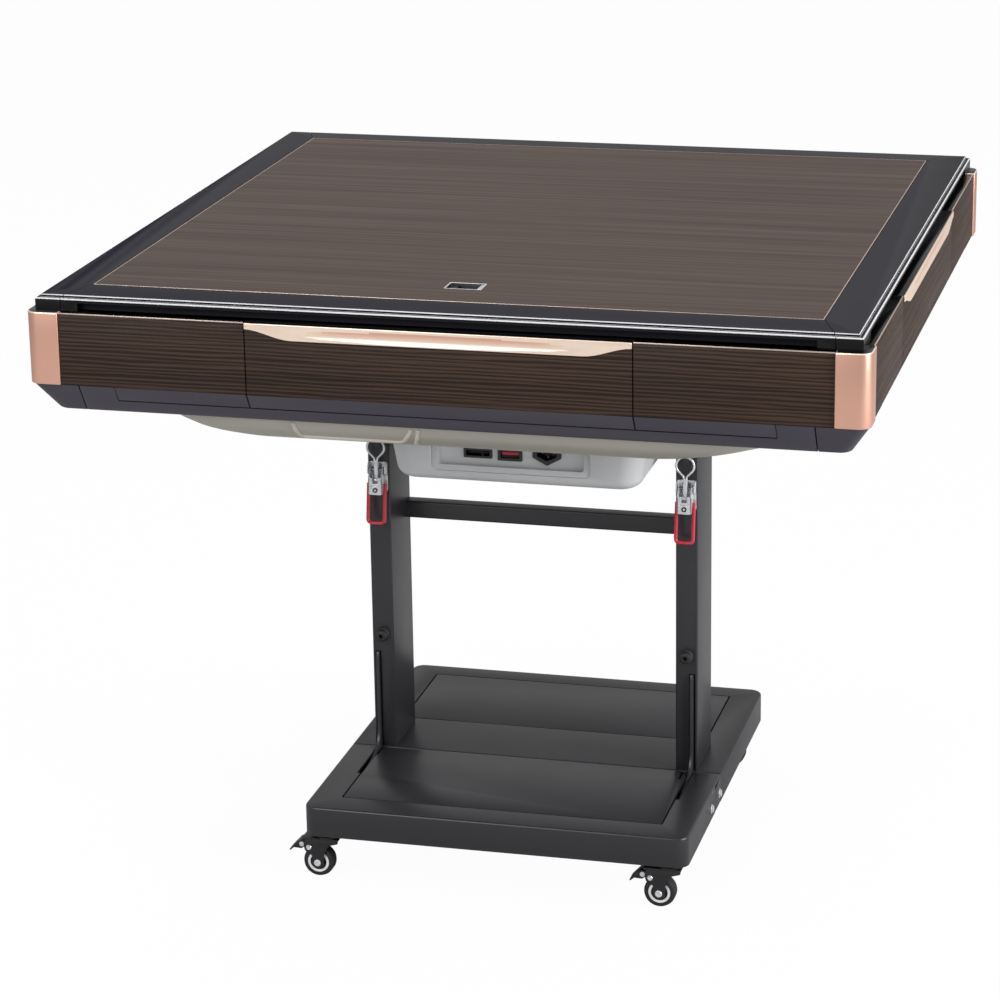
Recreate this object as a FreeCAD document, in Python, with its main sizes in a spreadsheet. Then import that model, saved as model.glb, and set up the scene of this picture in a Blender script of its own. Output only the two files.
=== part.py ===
"""Folding automatic mahjong table, millimetres, +Z up, +X right, -Y front.

The origin is on the floor under the middle of the table top. The table top with its machinery
tilts about a pin behind the two columns, and the front half of the wheeled base folds up.
"""
import FreeCAD, Part
import os
import Sketcher
from types import SimpleNamespace

DRIVING_SIZES = {
    # whole table
    "table_width": 960,  # over the corner trims
    "table_height": 785,
    "touch_gap": 0.5,  # between parts that meet but move or come off
    "overrun": 2,  # how far a cutting tool passes its work
    # black top frame
    "frame_setback": 10,
    "rail_width": 50,
    "rail_edge": 1,
    "rail_slope_drop": 2,
    "bead_width": 3,
    "bead_drop": 2,
    "corner_block_width": 30,
    "ledge_width": 14,
    "ledge_thickness": 8,
    "finger_recess_depth": 12,
    "finger_recess_height": 10,
    # cover board and its flush pull
    "cover_thickness": 12,
    "cover_gap": 1,
    "pull_length": 44,
    "pull_width": 30,
    "pull_depth": 8,
    "pull_wall": 1.5,
    "pull_margin": 72,
    # sides: corner trims, panels, drawer fronts
    "trim_height": 84,
    "trim_leg": 39,
    "trim_thickness": 3,
    "trim_rounding": 14,
    "panel_setback": 2,
    "panel_thickness": 16,
    "panel_lip_height": 18,
    "panel_seam": 0.8,
    # sloping skirt under the sides
    "skirt_height": 35,
    "skirt_inset": 23,
    "skirt_band": 40,
    "lip_end_margin": 102.5,
    "skirt_seam_margin": 60,
    # drawers
    "drawer_width": 440,
    "drawer_handle_end_height": 7,
    "drawer_handle_height": 18,
    "drawer_handle_run": 54,
    "tray_width": 400,
    "tray_depth": 87,
    "tray_floor_lift": 9,
    "tray_height": 52,
    "tray_wall": 3,
    # bottom dish
    "dish_depth": 40,
    "dish_rim_margin": 31,
    "dish_side_run": 69,
    "dish_corner_cut": 150,
    "dish_shoulder_run": 24,
    "dish_shoulder_height": 12,
    "shell_wall": 3,
    # machine tub under the dish
    "tub_height": 122,
    "tub_clearance": 10,
    "tub_side_run": 20,
    "tub_top_length": 292,
    "tub_floor_length": 272,
    "tub_corner_cut": 22,
    # control panel in the tub's front wall
    "control_width": 198,
    "control_height": 44,
    "control_lift": 15,
    "control_rim": 8,
    "control_depth": 10,
    "control_wall": 2.5,
    "control_centre": -5,
    "socket_width": 33,
    "socket_height": 10,
    "socket_place": -47,
    "switch_width": 27,
    "switch_height": 12,
    "switch_place": -7,
    "inlet_width": 35,
    "inlet_height": 22,
    "inlet_place": 39,
    "fitting_lift": 22,
    "fitting_depth": 18,
    "fitting_flange": 2,
    # columns and what they carry
    "column_inset": 44,
    "column_width": 28,
    "column_depth": 90,
    "column_front": -55,
    "column_top_drop": 61,
    "column_wall": 2.5,
    "crossbar_drop": 161,
    "crossbar_height": 22,
    "crossbar_depth": 20,
    "bumper_lift": 152,
    "bumper_radius": 9,
    "bumper_thickness": 11.5,
    "bumper_bore": 3,
    "brace_offset": 7,
    "brace_thickness": 4,
    "brace_height": 128,
    "brace_proud": 5,
    "brace_reach": 85,
    "brace_rounding": 34,
    "brace_slot_width": 7,
    "brace_slot_reach": 95,
    # tilting joint behind the columns
    "tilt_pin_back": 30,
    "tilt_pin_drop": 23,
    "tilt_pin_radius": 6,
    "tilt_bore_gap": 0.1,
    "bracket_thickness": 12,
    "bracket_margin": 16,
    "ear_thickness": 5,
    "ear_gap": 3,
    "ear_half_width": 17,
    "ear_flange": 26,
    # base
    "base_width": 480,
    "base_front": -271,
    "base_rear": 243,
    "base_split": -57,
    "base_split_gap": 1,
    "base_low": 60,
    "base_thickness": 38,
    "base_sheet": 3,
    "base_rounding": 16,
    "side_split_reach": 35,
    "side_split_rise": 29,
    "arm_width": 26,
    "arm_reach": 85,
    "arm_height": 28,
    "groove_width": 1.6,
    "groove_depth": 1,
    "groove_margin": 39,
    "front_groove_margin": 40,
    "rear_groove_gap": 104,
    "rear_groove_margin": 33,
    "bolt_radius": 6,
    "bolt_head": 3,
    "bolt_lift": 15,
    "front_bolt_back": 61,
    "rear_bolt_back": 9,
    # casters
    "caster_inset": 25,
    "front_caster_inset": 24,
    "middle_caster_reach": 48,
    "rear_caster_inset": 28,
    "caster_trail": 12,
    "wheel_radius": 19.5,
    "wheel_width": 18,
    "wheel_gap": 1.5,
    "cheek_thickness": 2.5,
    "axle_radius": 3,
    "axle_gap": 0.1,
    "swivel_radius": 15,
    "swivel_gap": 0.3,
    "crown_drop": 10,
    "crown_thickness": 3,
    "crown_reach": 31,
    "stem_radius": 5,
    "stem_length": 22,
    "socket_wall": 4,
    "pedal_length": 20,
    "pedal_thickness": 2.5,
    "pedal_pin_radius": 3.5,
    "pedal_pin_x": 29,
    "pedal_pin_drop": 18,
    # latches on the column fronts
    "latch_width": 24,
    "latch_plate": 2,
    "latch_plate_below": 30,
    "latch_plate_above": 9,
    "latch_ear_below": 8,
    "latch_pivot_proud": 7,
    "latch_pivot_drop": 75,
    "latch_pivot_radius": 2,
    "latch_link_pin_proud": 4,
    "latch_link_pin_below": 12,
    "latch_link_pin_radius": 1.5,
    "latch_bore_gap": 0.1,
    "latch_cheek": 2,
    "latch_side_gap": 1,
    "latch_lever_proud": 12,
    "latch_lever_plate": 3,
    "latch_lever_below": 30,
    "latch_lever_top_below": 8,
    "latch_lever_slot": 12,
    "latch_cheek_above": 4,
    "latch_cheek_behind": 3,
    "latch_grip_below": 69,
    "latch_grip_bar": 4.6,
    "latch_grip_width": 26,
    "latch_grip_rounding": 7,
    "latch_link_thickness": 3,
    "latch_stem_width": 4.6,
    "latch_ring_above": 30,
    "latch_ring_radius": 13,
    "latch_ring_bar": 4.2,
    "keeper_gap": 2.5,
    "keeper_thickness": 3,
    "keeper_width": 12,
    # playing surface and centre console
    "playfield_thickness": 8,
    "playfield_overlap": 10,
    "console_radius": 92,
    "console_rim": 12,
    "console_rise": 3,
    "console_depth": 62,
    "dome_radius": 40,
    "dome_height": 6,
    # tile lifts and wall of tiles
    "lift_length": 400,
    "lift_width": 44,
    "lift_margin": 84,
    "lift_gap": 0.3,
    # shuffling machinery
    "deck_thickness": 4,
    "drum_margin": 195,
    "drum_hub_radius": 40,
    "drum_lift": 12,
    "drum_thickness": 5,
    "drum_rim": 4,
    "drum_rim_height": 22,
    "drum_bore_gap": 0.1,
    "shaft_radius": 8,
    "motor_radius": 42,
    "motor_lift": 28,
    "motor_height": 74,
    "conveyor_length": 300,
    "conveyor_width": 46,
    "conveyor_margin": 150,
    "conveyor_height": 26,
    "board_width": 150,
    "board_height": 98,
    "board_thickness": 6,
    "board_setback": 32,
}

document = FreeCAD.newDocument("MahjongTable")
sheet = document.addObject("Spreadsheet::Sheet", "Sizes")


class Dim:
    """A number together with the spreadsheet expression that gives it."""

    def __init__(self, value, text):
        self.value = value
        self.text = text

    def __add__(self, other):
        other = as_dim(other)
        return Dim(self.value + other.value, f"({self.text} + {other.text})")

    def __sub__(self, other):
        other = as_dim(other)
        return Dim(self.value - other.value, f"({self.text} - {other.text})")

    def __mul__(self, other):
        other = as_dim(other)
        return Dim(self.value * other.value, f"({self.text} * {other.text})")

    def __truediv__(self, other):
        other = as_dim(other)
        return Dim(self.value / other.value, f"({self.text} / {other.text})")

    def __rmul__(self, other):
        return as_dim(other) * self

    def __neg__(self):
        return ZERO - self


def as_dim(number):
    return number if isinstance(number, Dim) else Dim(number, f"({number})")


ZERO = Dim(0, "0")


def read_sizes():
    """Write each driving size to the sheet under its alias and hand it back as a Dim."""
    dims = {}
    for row, (alias, number) in enumerate(DRIVING_SIZES.items(), start=1):
        sheet.set(f"A{row}", alias.replace("_", " "))
        sheet.set(f"B{row}", str(number))
        sheet.setAlias(f"B{row}", alias)
        dims[alias] = Dim(number, f"Sizes.{alias}")
    document.recompute()
    return SimpleNamespace(**dims)


s = read_sizes()
AXES = "xyz"
WHEEL_SIDES = 48
HEAD_SIDES = 24
RING_SIDES = 12
BOLT_SIDES = 6
PLANES = {"XY": "z", "XZ": "y", "YZ": "x"}
nodes = {}


def span(first, second):
    """Two places in rising order."""
    return (first, second) if first.value <= second.value else (second, first)


def about(middle, width):
    return (middle - width / 2, middle + width / 2)


def bind(thing, prop, dim):
    thing.setExpression(prop, dim.text)


def box(name, x, y, z):
    thing = document.addObject("Part::Box", name)
    for prop, axis, ends in zip(("Length", "Width", "Height"), AXES, (x, y, z)):
        low, high = span(*ends)
        bind(thing, prop, high - low)
        bind(thing, f"Placement.Base.{axis}", low)
    return thing


TURNS = {
    "x": FreeCAD.Rotation(FreeCAD.Vector(0, 0, 1), FreeCAD.Vector(1, 0, 0)),
    "y": FreeCAD.Rotation(FreeCAD.Vector(0, 0, 1), FreeCAD.Vector(0, 1, 0)),
    "z": FreeCAD.Rotation(),
}


def rod(name, axis, centre, ends, radius):
    """Round bar along one axis. centre holds the places on the other two axes in x, y, z order."""
    thing = document.addObject("Part::Cylinder", name)
    low, high = span(*ends)
    bind(thing, "Radius", radius)
    bind(thing, "Height", high - low)
    thing.Placement = FreeCAD.Placement(FreeCAD.Vector(), TURNS[axis])
    places = list(centre)
    places.insert(AXES.index(axis), low)
    for place_axis, place in zip(AXES, places):
        bind(thing, f"Placement.Base.{place_axis}", place)
    return thing


def prism(name, axis, centre, ends, radius, sides):
    """Many-sided bar along one axis, for round pieces that repeat. centre is as for rod."""
    thing = document.addObject("Part::Prism", name)
    low, high = span(*ends)
    thing.Polygon = sides
    bind(thing, "Circumradius", radius)
    bind(thing, "Height", high - low)
    thing.Placement = FreeCAD.Placement(FreeCAD.Vector(), TURNS[axis])
    places = list(centre)
    places.insert(AXES.index(axis), low)
    for place_axis, place in zip(AXES, places):
        bind(thing, f"Placement.Base.{place_axis}", place)
    return thing


def origin_plane(body, plane):
    return next(part for part in body.Origin.OriginFeatures if part.Role == f"{plane}_Plane")


def outline_sketch(body, name, plane, outline):
    """Closed polygon whose every corner is held by two bound distances from the origin."""
    sketch = body.newObject("Sketcher::SketchObject", name)
    sketch.AttachmentSupport = [(origin_plane(body, plane), "")]
    sketch.MapMode = "FlatFace"
    corners = [FreeCAD.Vector(across.value, up.value, 0) for across, up in outline]
    count = len(corners)
    for index, corner in enumerate(corners):
        sketch.addGeometry(Part.LineSegment(corner, corners[(index + 1) % count]), False)
    for index in range(count):
        sketch.addConstraint(Sketcher.Constraint("Coincident", index, 2, (index + 1) % count, 1))
    for index, places in enumerate(outline):
        for kind, letter, line, place in zip(("DistanceX", "DistanceY"), "xy", (-2, -1), places):
            if abs(place.value) < 1e-9:
                sketch.addConstraint(Sketcher.Constraint("PointOnObject", index, 1, line))
                continue
            held = sketch.addConstraint(Sketcher.Constraint(kind, -1, 1, index, 1, float(place.value)))
            sketch.renameConstraint(held, f"corner{index}{letter}")
            bind(sketch, f"Constraints.corner{index}{letter}", place)
    return sketch


def slab(name, plane, outline, ends, rounds=()):
    """Outline padded between two places on the plane's normal. rounds pairs corner numbers with a radius."""
    body = document.addObject("PartDesign::Body", name)
    sketch = outline_sketch(body, f"{name}_outline", plane, outline)
    low, high = span(*ends)
    last = body.newObject("PartDesign::Pad", f"{name}_pad")
    last.Profile = sketch
    last.Reversed = plane == "XZ"
    bind(last, "Length", high - low)
    normal = PLANES[plane]
    document.recompute()
    for turn, (corner_numbers, radius) in enumerate(rounds):
        edges = corner_edges(last.Shape, normal, [outline[number] for number in corner_numbers])
        fillet = body.newObject("PartDesign::Fillet", f"{name}_rounding{turn}")
        fillet.Base = (last, edges)
        bind(fillet, "Radius", radius)
        last = fillet
        document.recompute()
    body.Tip = last
    bind(body, f"Placement.Base.{normal}", low)
    return body


def corner_edges(shape, normal, corners):
    """Names of the edges that rise from the given outline corners."""
    across, up = [axis for axis in AXES if axis != normal]
    names = []
    for number, edge in enumerate(shape.Edges, start=1):
        start, end = edge.Vertexes[0].Point, edge.Vertexes[-1].Point
        rises = abs(getattr(start, normal) - getattr(end, normal)) > 1e-6
        stands = abs(getattr(start, across) - getattr(end, across)) < 1e-6
        stands = stands and abs(getattr(start, up) - getattr(end, up)) < 1e-6
        for corner in corners:
            near = abs(getattr(start, across) - corner[0].value) < 1e-5
            near = near and abs(getattr(start, up) - corner[1].value) < 1e-5
            if rises and stands and near:
                names.append(f"Edge{number}")
    return names


def turned(name, outline, centre=(ZERO, ZERO)):
    """Outline of radius and height turned about an upright axis."""
    body = document.addObject("PartDesign::Body", name)
    sketch = outline_sketch(body, f"{name}_outline", "XZ", outline)
    turn = body.newObject("PartDesign::Revolution", f"{name}_turn")
    turn.Profile = sketch
    turn.ReferenceAxis = (sketch, ["V_Axis"])
    turn.Angle = 360
    body.Tip = turn
    bind(body, "Placement.Base.x", centre[0])
    bind(body, "Placement.Base.y", centre[1])
    return body


def tapered(name, *levels):
    """Straight-sided form through plans with as many corners each, given with their heights from below."""
    body = document.addObject("PartDesign::Body", name)
    sketches = []
    for number, (plan, level) in enumerate(levels):
        sketch = outline_sketch(body, f"{name}_level{number}", "XY", plan)
        bind(sketch, "AttachmentOffset.Base.z", level)
        sketches.append(sketch)
    loft = body.newObject("PartDesign::AdditiveLoft", f"{name}_loft")
    loft.Profile = sketches[0]
    loft.Sections = sketches[1:]
    loft.Ruled = True
    body.Tip = loft
    return body


def cut(name, base, *tools):
    tool = tools[0] if len(tools) == 1 else fuse(f"{name}_tools", *tools)
    thing = document.addObject("Part::Cut", name)
    thing.Base = base
    thing.Tool = tool
    return thing


def fuse(name, *parts):
    thing = document.addObject("Part::MultiFuse", name)
    thing.Shapes = list(parts)
    thing.Refine = True
    return thing


def group(name, *parts, quarter_turns=0):
    """Separate solids held together in one node, turned about the table's upright axis."""
    thing = document.addObject("Part::Compound", name)
    thing.Links = list(parts)
    thing.Placement = FreeCAD.Placement(
        FreeCAD.Vector(), FreeCAD.Rotation(FreeCAD.Vector(0, 0, 1), 90 * quarter_turns)
    )
    return thing


def keep(label, thing):
    """Name a finished sub-part and list it for writing out."""
    thing.Label = label
    nodes[label] = thing


def mirrored_outline(points):
    """Outline given on the right, completed on the left."""
    return points + [(-across, up) for across, up in reversed(points)]


def octagon(width, length, corner_cut, middle=ZERO):
    """Rectangle with cut corners, centred on x = 0."""
    half, deep = width / 2, length / 2
    right = [
        (half - corner_cut, middle - deep),
        (half, middle - deep + corner_cut),
        (half, middle + deep - corner_cut),
        (half - corner_cut, middle + deep),
    ]
    return mirrored_outline(right)


# places that many parts share, worked out from the driving sizes
top = s.table_height
half_table = s.table_width / 2
half_frame = half_table - s.frame_setback
rail_inner = half_frame - s.rail_width
rail_low = top - s.cover_thickness - s.ledge_thickness
ledge_top = top - s.cover_thickness
ledge_inner = rail_inner - s.ledge_width
panel_face = half_table - s.panel_setback
panel_back = panel_face - s.panel_thickness
sides_low = rail_low - s.trim_height
skirt_low = sides_low - s.skirt_height
skirt_floor_half = panel_face - s.skirt_inset
lip_low = sides_low - s.panel_lip_height
lip_face = panel_face - s.skirt_inset * s.panel_lip_height / s.skirt_height
dish_low = skirt_low - s.dish_depth
tub_low = dish_low - s.tub_height
base_top = s.base_low + s.base_thickness
column_back = s.column_front + s.column_depth
half_base = s.base_width / 2
half_spacing = half_base - s.column_inset
skirt_inner_width = s.table_width - s.skirt_band * 2
skirt_notch_width = s.table_width - s.lip_end_margin * 2
skirt_seam_place = half_table - s.skirt_seam_margin
tray_floor_height = sides_low + s.tray_floor_lift
dish_top_width = s.table_width - s.dish_rim_margin * 2
dish_floor_width = dish_top_width - s.dish_side_run * 2
control_low = tub_low + s.control_lift
fitting_middle = control_low + s.fitting_lift
column_top = dish_low - s.column_top_drop
crossbar_low = column_top - s.crossbar_drop
bumper_height = base_top + s.bumper_lift
brace_place = half_spacing + s.brace_offset
brace_top = base_top + s.brace_height
tilt_pin_y = column_back + s.tilt_pin_back
tilt_pin_z = column_top - s.tilt_pin_drop
tub_top_width = (half_spacing - s.column_width / 2 - s.tub_clearance) * 2
tub_floor_width = tub_top_width - s.tub_side_run * 2
panel_groove_place = half_base - s.groove_margin
front_groove_y = s.base_front + s.front_groove_margin
rear_groove_front_y = s.base_split + s.rear_groove_gap
rear_groove_rear_y = s.base_rear - s.rear_groove_margin
bolt_height = s.base_low + s.bolt_lift
front_bolt_y = s.base_split - s.front_bolt_back
rear_bolt_y = s.base_split - s.rear_bolt_back
caster_x = half_base - s.caster_inset
front_caster_y = s.base_front + s.front_caster_inset
rear_caster_y = s.base_rear - s.rear_caster_inset
middle_caster_x = brace_place
middle_caster_y = s.base_split - s.middle_caster_reach
pedal_pin_z = s.base_low - s.pedal_pin_drop
latch_pivot_y = s.column_front - s.latch_pivot_proud
latch_pivot_z = column_top - s.latch_pivot_drop
latch_plate_low = latch_pivot_z - s.latch_plate_below
latch_plate_high = latch_pivot_z + s.latch_plate_above
latch_ear_low = latch_pivot_z - s.latch_ear_below
latch_link_pin_y = latch_pivot_y - s.latch_link_pin_proud
latch_link_pin_z = latch_pivot_z - s.latch_link_pin_below
latch_lever_front = latch_pivot_y - s.latch_lever_proud
latch_lever_low = latch_pivot_z - s.latch_lever_below
latch_lever_high = latch_pivot_z - s.latch_lever_top_below
latch_cheek_high = latch_pivot_z + s.latch_cheek_above
latch_cheek_back = latch_pivot_y + s.latch_cheek_behind
latch_grip_low = latch_pivot_z - s.latch_grip_below
latch_ring_middle = latch_pivot_z + s.latch_ring_above
lift_middle = ledge_inner - s.lift_margin
pull_centre_y = -rail_inner + s.pull_margin
drum_radius = half_table - s.drum_margin
drum_low = skirt_low + s.drum_lift
motor_low = tub_low + s.motor_lift
conveyor_middle = half_table - s.conveyor_margin
board_front = -s.tub_floor_length / 2 + s.board_setback
SIDE_NAMES = ("front", "right", "back", "left")
BOTH_SIDES = (("left", -1), ("right", 1))


def build_frame_rails():
    """Front and back rails end on slanted seams. The side rails run the table's full depth behind them."""
    bead_top = top - s.rail_slope_drop - s.bead_drop
    outline = [
        (-rail_inner, top),
        (-half_frame + s.bead_width, top - s.rail_slope_drop),
        (-half_frame + s.bead_width, bead_top),
        (-half_frame + s.rail_edge, bead_top),
        (-half_frame, bead_top - s.rail_edge),
        (-half_frame, rail_low),
        (-ledge_inner, rail_low),
        (-ledge_inner, ledge_top),
        (-rail_inner, ledge_top),
    ]
    seam_half = half_frame - s.corner_block_width
    plan = [
        (seam_half, -half_frame - s.overrun),
        (seam_half, -half_frame),
        (rail_inner, -rail_inner),
        (rail_inner, -ledge_inner),
    ]
    rails = []
    for quarter, side in enumerate(SIDE_NAMES):
        bar = slab(f"{side}_rail_bar", "YZ", outline, (-half_frame, half_frame))
        recess = box(
            f"{side}_rail_recess",
            (-rail_inner, rail_inner),
            (-half_frame - s.overrun, -half_frame + s.finger_recess_depth),
            (rail_low - s.overrun, rail_low + s.finger_recess_height),
        )
        levels = (rail_low - s.overrun, top + s.overrun)
        if side in ("front", "back"):
            area = slab(f"{side}_rail_plan", "XY", mirrored_outline(plan), levels)
            ended = document.addObject("Part::MultiCommon", f"{side}_rail_ended")
            ended.Shapes = [bar, area]
            rail = cut(f"{side}_rail_cut", ended, recess)
        else:
            ends = []
            for turns in (1, -1):
                area = slab(f"{side}_rail_neighbour{turns % 4}", "XY", mirrored_outline(plan), levels)
                ends.append(group(f"{side}_rail_end{turns % 4}", area, quarter_turns=turns))
            rail = cut(f"{side}_rail_cut", bar, recess, *ends)
        rails.append(group(f"{side}_rail", rail, quarter_turns=quarter))
    keep("frame_rails", group("rails", *rails))


def build_cover():
    """Loose board over the playing surface, with a flush cup to lift it by."""
    half = rail_inner - s.cover_gap
    board = box("cover_blank", (-half, half), (-half, half), (ledge_top, top))
    cup_x = about(ZERO, s.pull_length)
    cup_y = about(pull_centre_y, s.pull_width)
    hole = box("cover_pull_hole", cup_x, cup_y, (top - s.pull_depth, top + s.overrun))
    keep("cover_board", cut("cover_cut", board, hole))
    cup = box("pull_blank", cup_x, cup_y, (top - s.pull_depth, top))
    hollow = box(
        "pull_hollow",
        about(ZERO, s.pull_length - s.pull_wall * 2),
        about(pull_centre_y, s.pull_width - s.pull_wall * 2),
        (top - s.pull_depth + s.pull_wall, top + s.overrun),
    )
    keep("cover_pull", cut("pull_cut", cup, hollow))


def build_corners():
    """Rounded metal trims wrapped round a post at each corner."""
    inner = half_table - s.trim_thickness
    leg_end = half_table - s.trim_leg
    trims = []
    posts = []
    for quarter in range(4):
        outline = [
            (leg_end, -half_table),
            (half_table, -half_table),
            (half_table, -leg_end),
            (inner, -leg_end),
            (inner, -inner),
            (leg_end, -inner),
        ]
        rounds = [((1,), s.trim_rounding), ((4,), s.trim_rounding - s.trim_thickness)]
        bar = slab(f"trim_bar{quarter}", "XY", outline, (sides_low, rail_low), rounds)
        plan = [(leg_end, -half_table), (half_table, -half_table), (half_table, -leg_end), (leg_end, -leg_end)]
        cap_low = rail_low - s.trim_thickness
        cap = slab(f"trim_cap{quarter}", "XY", plan, (cap_low, rail_low), [((1,), s.trim_rounding)])
        trim = fuse(f"trim_whole{quarter}", bar, cap)
        trims.append(group(f"trim{quarter}", trim, quarter_turns=quarter))
        block = [(leg_end, -inner), (inner, -inner), (inner, -leg_end), (leg_end, -leg_end)]
        post_round = [((1,), s.trim_rounding - s.trim_thickness)]
        post = slab(f"post_bar{quarter}", "XY", block, (sides_low, cap_low), post_round)
        posts.append(group(f"post{quarter}", post, quarter_turns=quarter))
    keep("corner_trims", group("trims", *trims))
    return posts


def side_section(high):
    """Section of a side panel or drawer front: upright face, then a lip that follows the skirt."""
    return [
        (-panel_face, high),
        (-panel_face, sides_low),
        (-lip_face, lip_low),
        (-panel_back, lip_low),
        (-panel_back, high),
    ]


def build_side_panels():
    """Two fixed panels beside each drawer. The lip stops short of the corner."""
    inner = s.drawer_width / 2 + s.panel_seam
    outer = half_table - s.trim_leg
    lip_end = skirt_notch_width / 2 - s.touch_gap
    panels = []
    for quarter, side in enumerate(SIDE_NAMES):
        for name, sign in BOTH_SIDES:
            label = f"{side}_{name}"
            lipped = slab(f"panel_lipped_{label}", "YZ", side_section(rail_low), (sign * inner, sign * lip_end))
            plain = box(
                f"panel_plain_{label}",
                (sign * lip_end, sign * outer),
                (-panel_face, -panel_back),
                (sides_low, rail_low),
            )
            whole = fuse(f"panel_{label}", lipped, plain)
            panels.append(group(f"panel_turned_{label}", whole, quarter_turns=quarter))
    keep("side_panels", group("panels", *panels))


def build_skirt():
    """Sloping ring under the sides, in four lengths, notched for the panel lips."""
    outer = tapered(
        "skirt_outer", (rectangle(skirt_floor_half), skirt_low), (rectangle(panel_face), sides_low)
    )
    half = skirt_inner_width / 2
    tools = [
        box("skirt_hollow", (-half, half), (-half, half), (skirt_low - s.overrun, sides_low + s.overrun))
    ]
    notch_half = skirt_notch_width / 2
    for quarter, side in enumerate(SIDE_NAMES):
        notch = box(
            f"skirt_notch_{side}",
            (-notch_half, notch_half),
            (-panel_face - s.overrun, -panel_back + s.touch_gap),
            (lip_low - s.touch_gap, sides_low + s.overrun),
        )
        tools.append(group(f"skirt_notch_turned_{side}", notch, quarter_turns=quarter))
    for name, sign in BOTH_SIDES:
        place = sign * skirt_seam_place
        seam = box(
            f"skirt_seam_{name}",
            about(place, s.panel_seam),
            (-half_table, half_table),
            (skirt_low - s.overrun, sides_low + s.overrun),
        )
        tools.append(seam)
    keep("skirt", cut("skirt_cut", outer, *tools))


def rectangle(half, deep=None):
    deep = half if deep is None else deep
    return [(half, -deep), (half, deep), (-half, deep), (-half, -deep)]


def build_drawers():
    """One drawer in each side: lipped front, open tray behind it, metal pull along its top edge."""
    high = rail_low - s.touch_gap
    half = s.drawer_width / 2
    half_tray = s.tray_width / 2
    tray_back = -panel_back + s.tray_depth
    floor = tray_floor_height
    for quarter, side in enumerate(SIDE_NAMES):
        front = slab(f"drawer_board_{side}", "YZ", side_section(high), (-half, half))
        blank = box(
            f"tray_blank_{side}",
            (-half_tray, half_tray),
            (-panel_back, tray_back),
            (floor, floor + s.tray_height),
        )
        hollow = box(
            f"tray_hollow_{side}",
            (-half_tray + s.tray_wall, half_tray - s.tray_wall),
            (-panel_back + s.tray_wall, tray_back - s.tray_wall),
            (floor + s.tray_wall, floor + s.tray_height + s.overrun),
        )
        tray = cut(f"tray_{side}", blank, hollow)
        drawer = fuse(f"drawer_whole_{side}", front, tray)
        keep(f"drawer_{side}", group(f"drawer_turned_{side}", drawer, quarter_turns=quarter))
        full = half - s.drawer_handle_run
        right = [
            (full, high - s.drawer_handle_height),
            (half, high - s.drawer_handle_end_height),
            (half, high),
        ]
        handle = slab(
            f"handle_bar_{side}", "XZ", mirrored_outline(right), (-half_table, -panel_face)
        )
        keep(f"drawer_pull_{side}", group(f"drawer_pull_turned_{side}", handle, quarter_turns=quarter))


def build_bottom():
    """Shallow dish under the whole machine and a deeper tub under its middle."""
    wall = s.shell_wall
    shoulder = dish_top_width - s.dish_shoulder_run * 2
    shoulder_z = dish_low + s.dish_shoulder_height

    def dish_form(name, inset, lift, rise):
        sizes = ((dish_floor_width, dish_low + lift), (shoulder, shoulder_z + lift), (dish_top_width, skirt_low + rise))
        plans = [
            (octagon(width - inset * 2, width - inset * 2, s.dish_corner_cut), level) for width, level in sizes
        ]
        return tapered(name, *plans)

    outer = dish_form("dish_outer", ZERO, ZERO, ZERO)
    inner = dish_form("dish_inner", wall, wall, s.overrun)
    well = box(
        "dish_well",
        about(ZERO, tub_top_width - wall * 4),
        about(ZERO, s.tub_top_length - wall * 4),
        (dish_low - s.overrun, dish_low + wall + s.overrun),
    )
    keep("bottom_dish", cut("dish_cut", outer, inner, well))

    def tub_form(name, inset, lift, rise):
        sizes = (
            (tub_floor_width, s.tub_floor_length, tub_low + lift),
            (tub_top_width, s.tub_top_length, dish_low + rise),
        )
        corner = s.tub_corner_cut - inset / 2
        plans = [
            (octagon(width - inset * 2, length - inset * 2, corner), level) for width, length, level in sizes
        ]
        return tapered(name, *plans)

    tub = tub_form("tub_outer", ZERO, ZERO, ZERO)
    hollow = tub_form("tub_inner", wall, wall, s.overrun)
    window = box(
        "tub_window",
        about(s.control_centre, s.control_width + s.touch_gap * 2),
        (-s.tub_top_length / 2 - s.overrun, control_back + s.touch_gap),
        (control_low - s.touch_gap, control_low + s.control_height + s.touch_gap),
    )
    keep("machine_tub", cut("tub_cut", tub, hollow, window))


control_front = -s.tub_floor_length / 2
control_back = control_front + s.control_depth
control_high = control_low + s.control_height
fitting_face = control_back - s.control_wall


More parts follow.
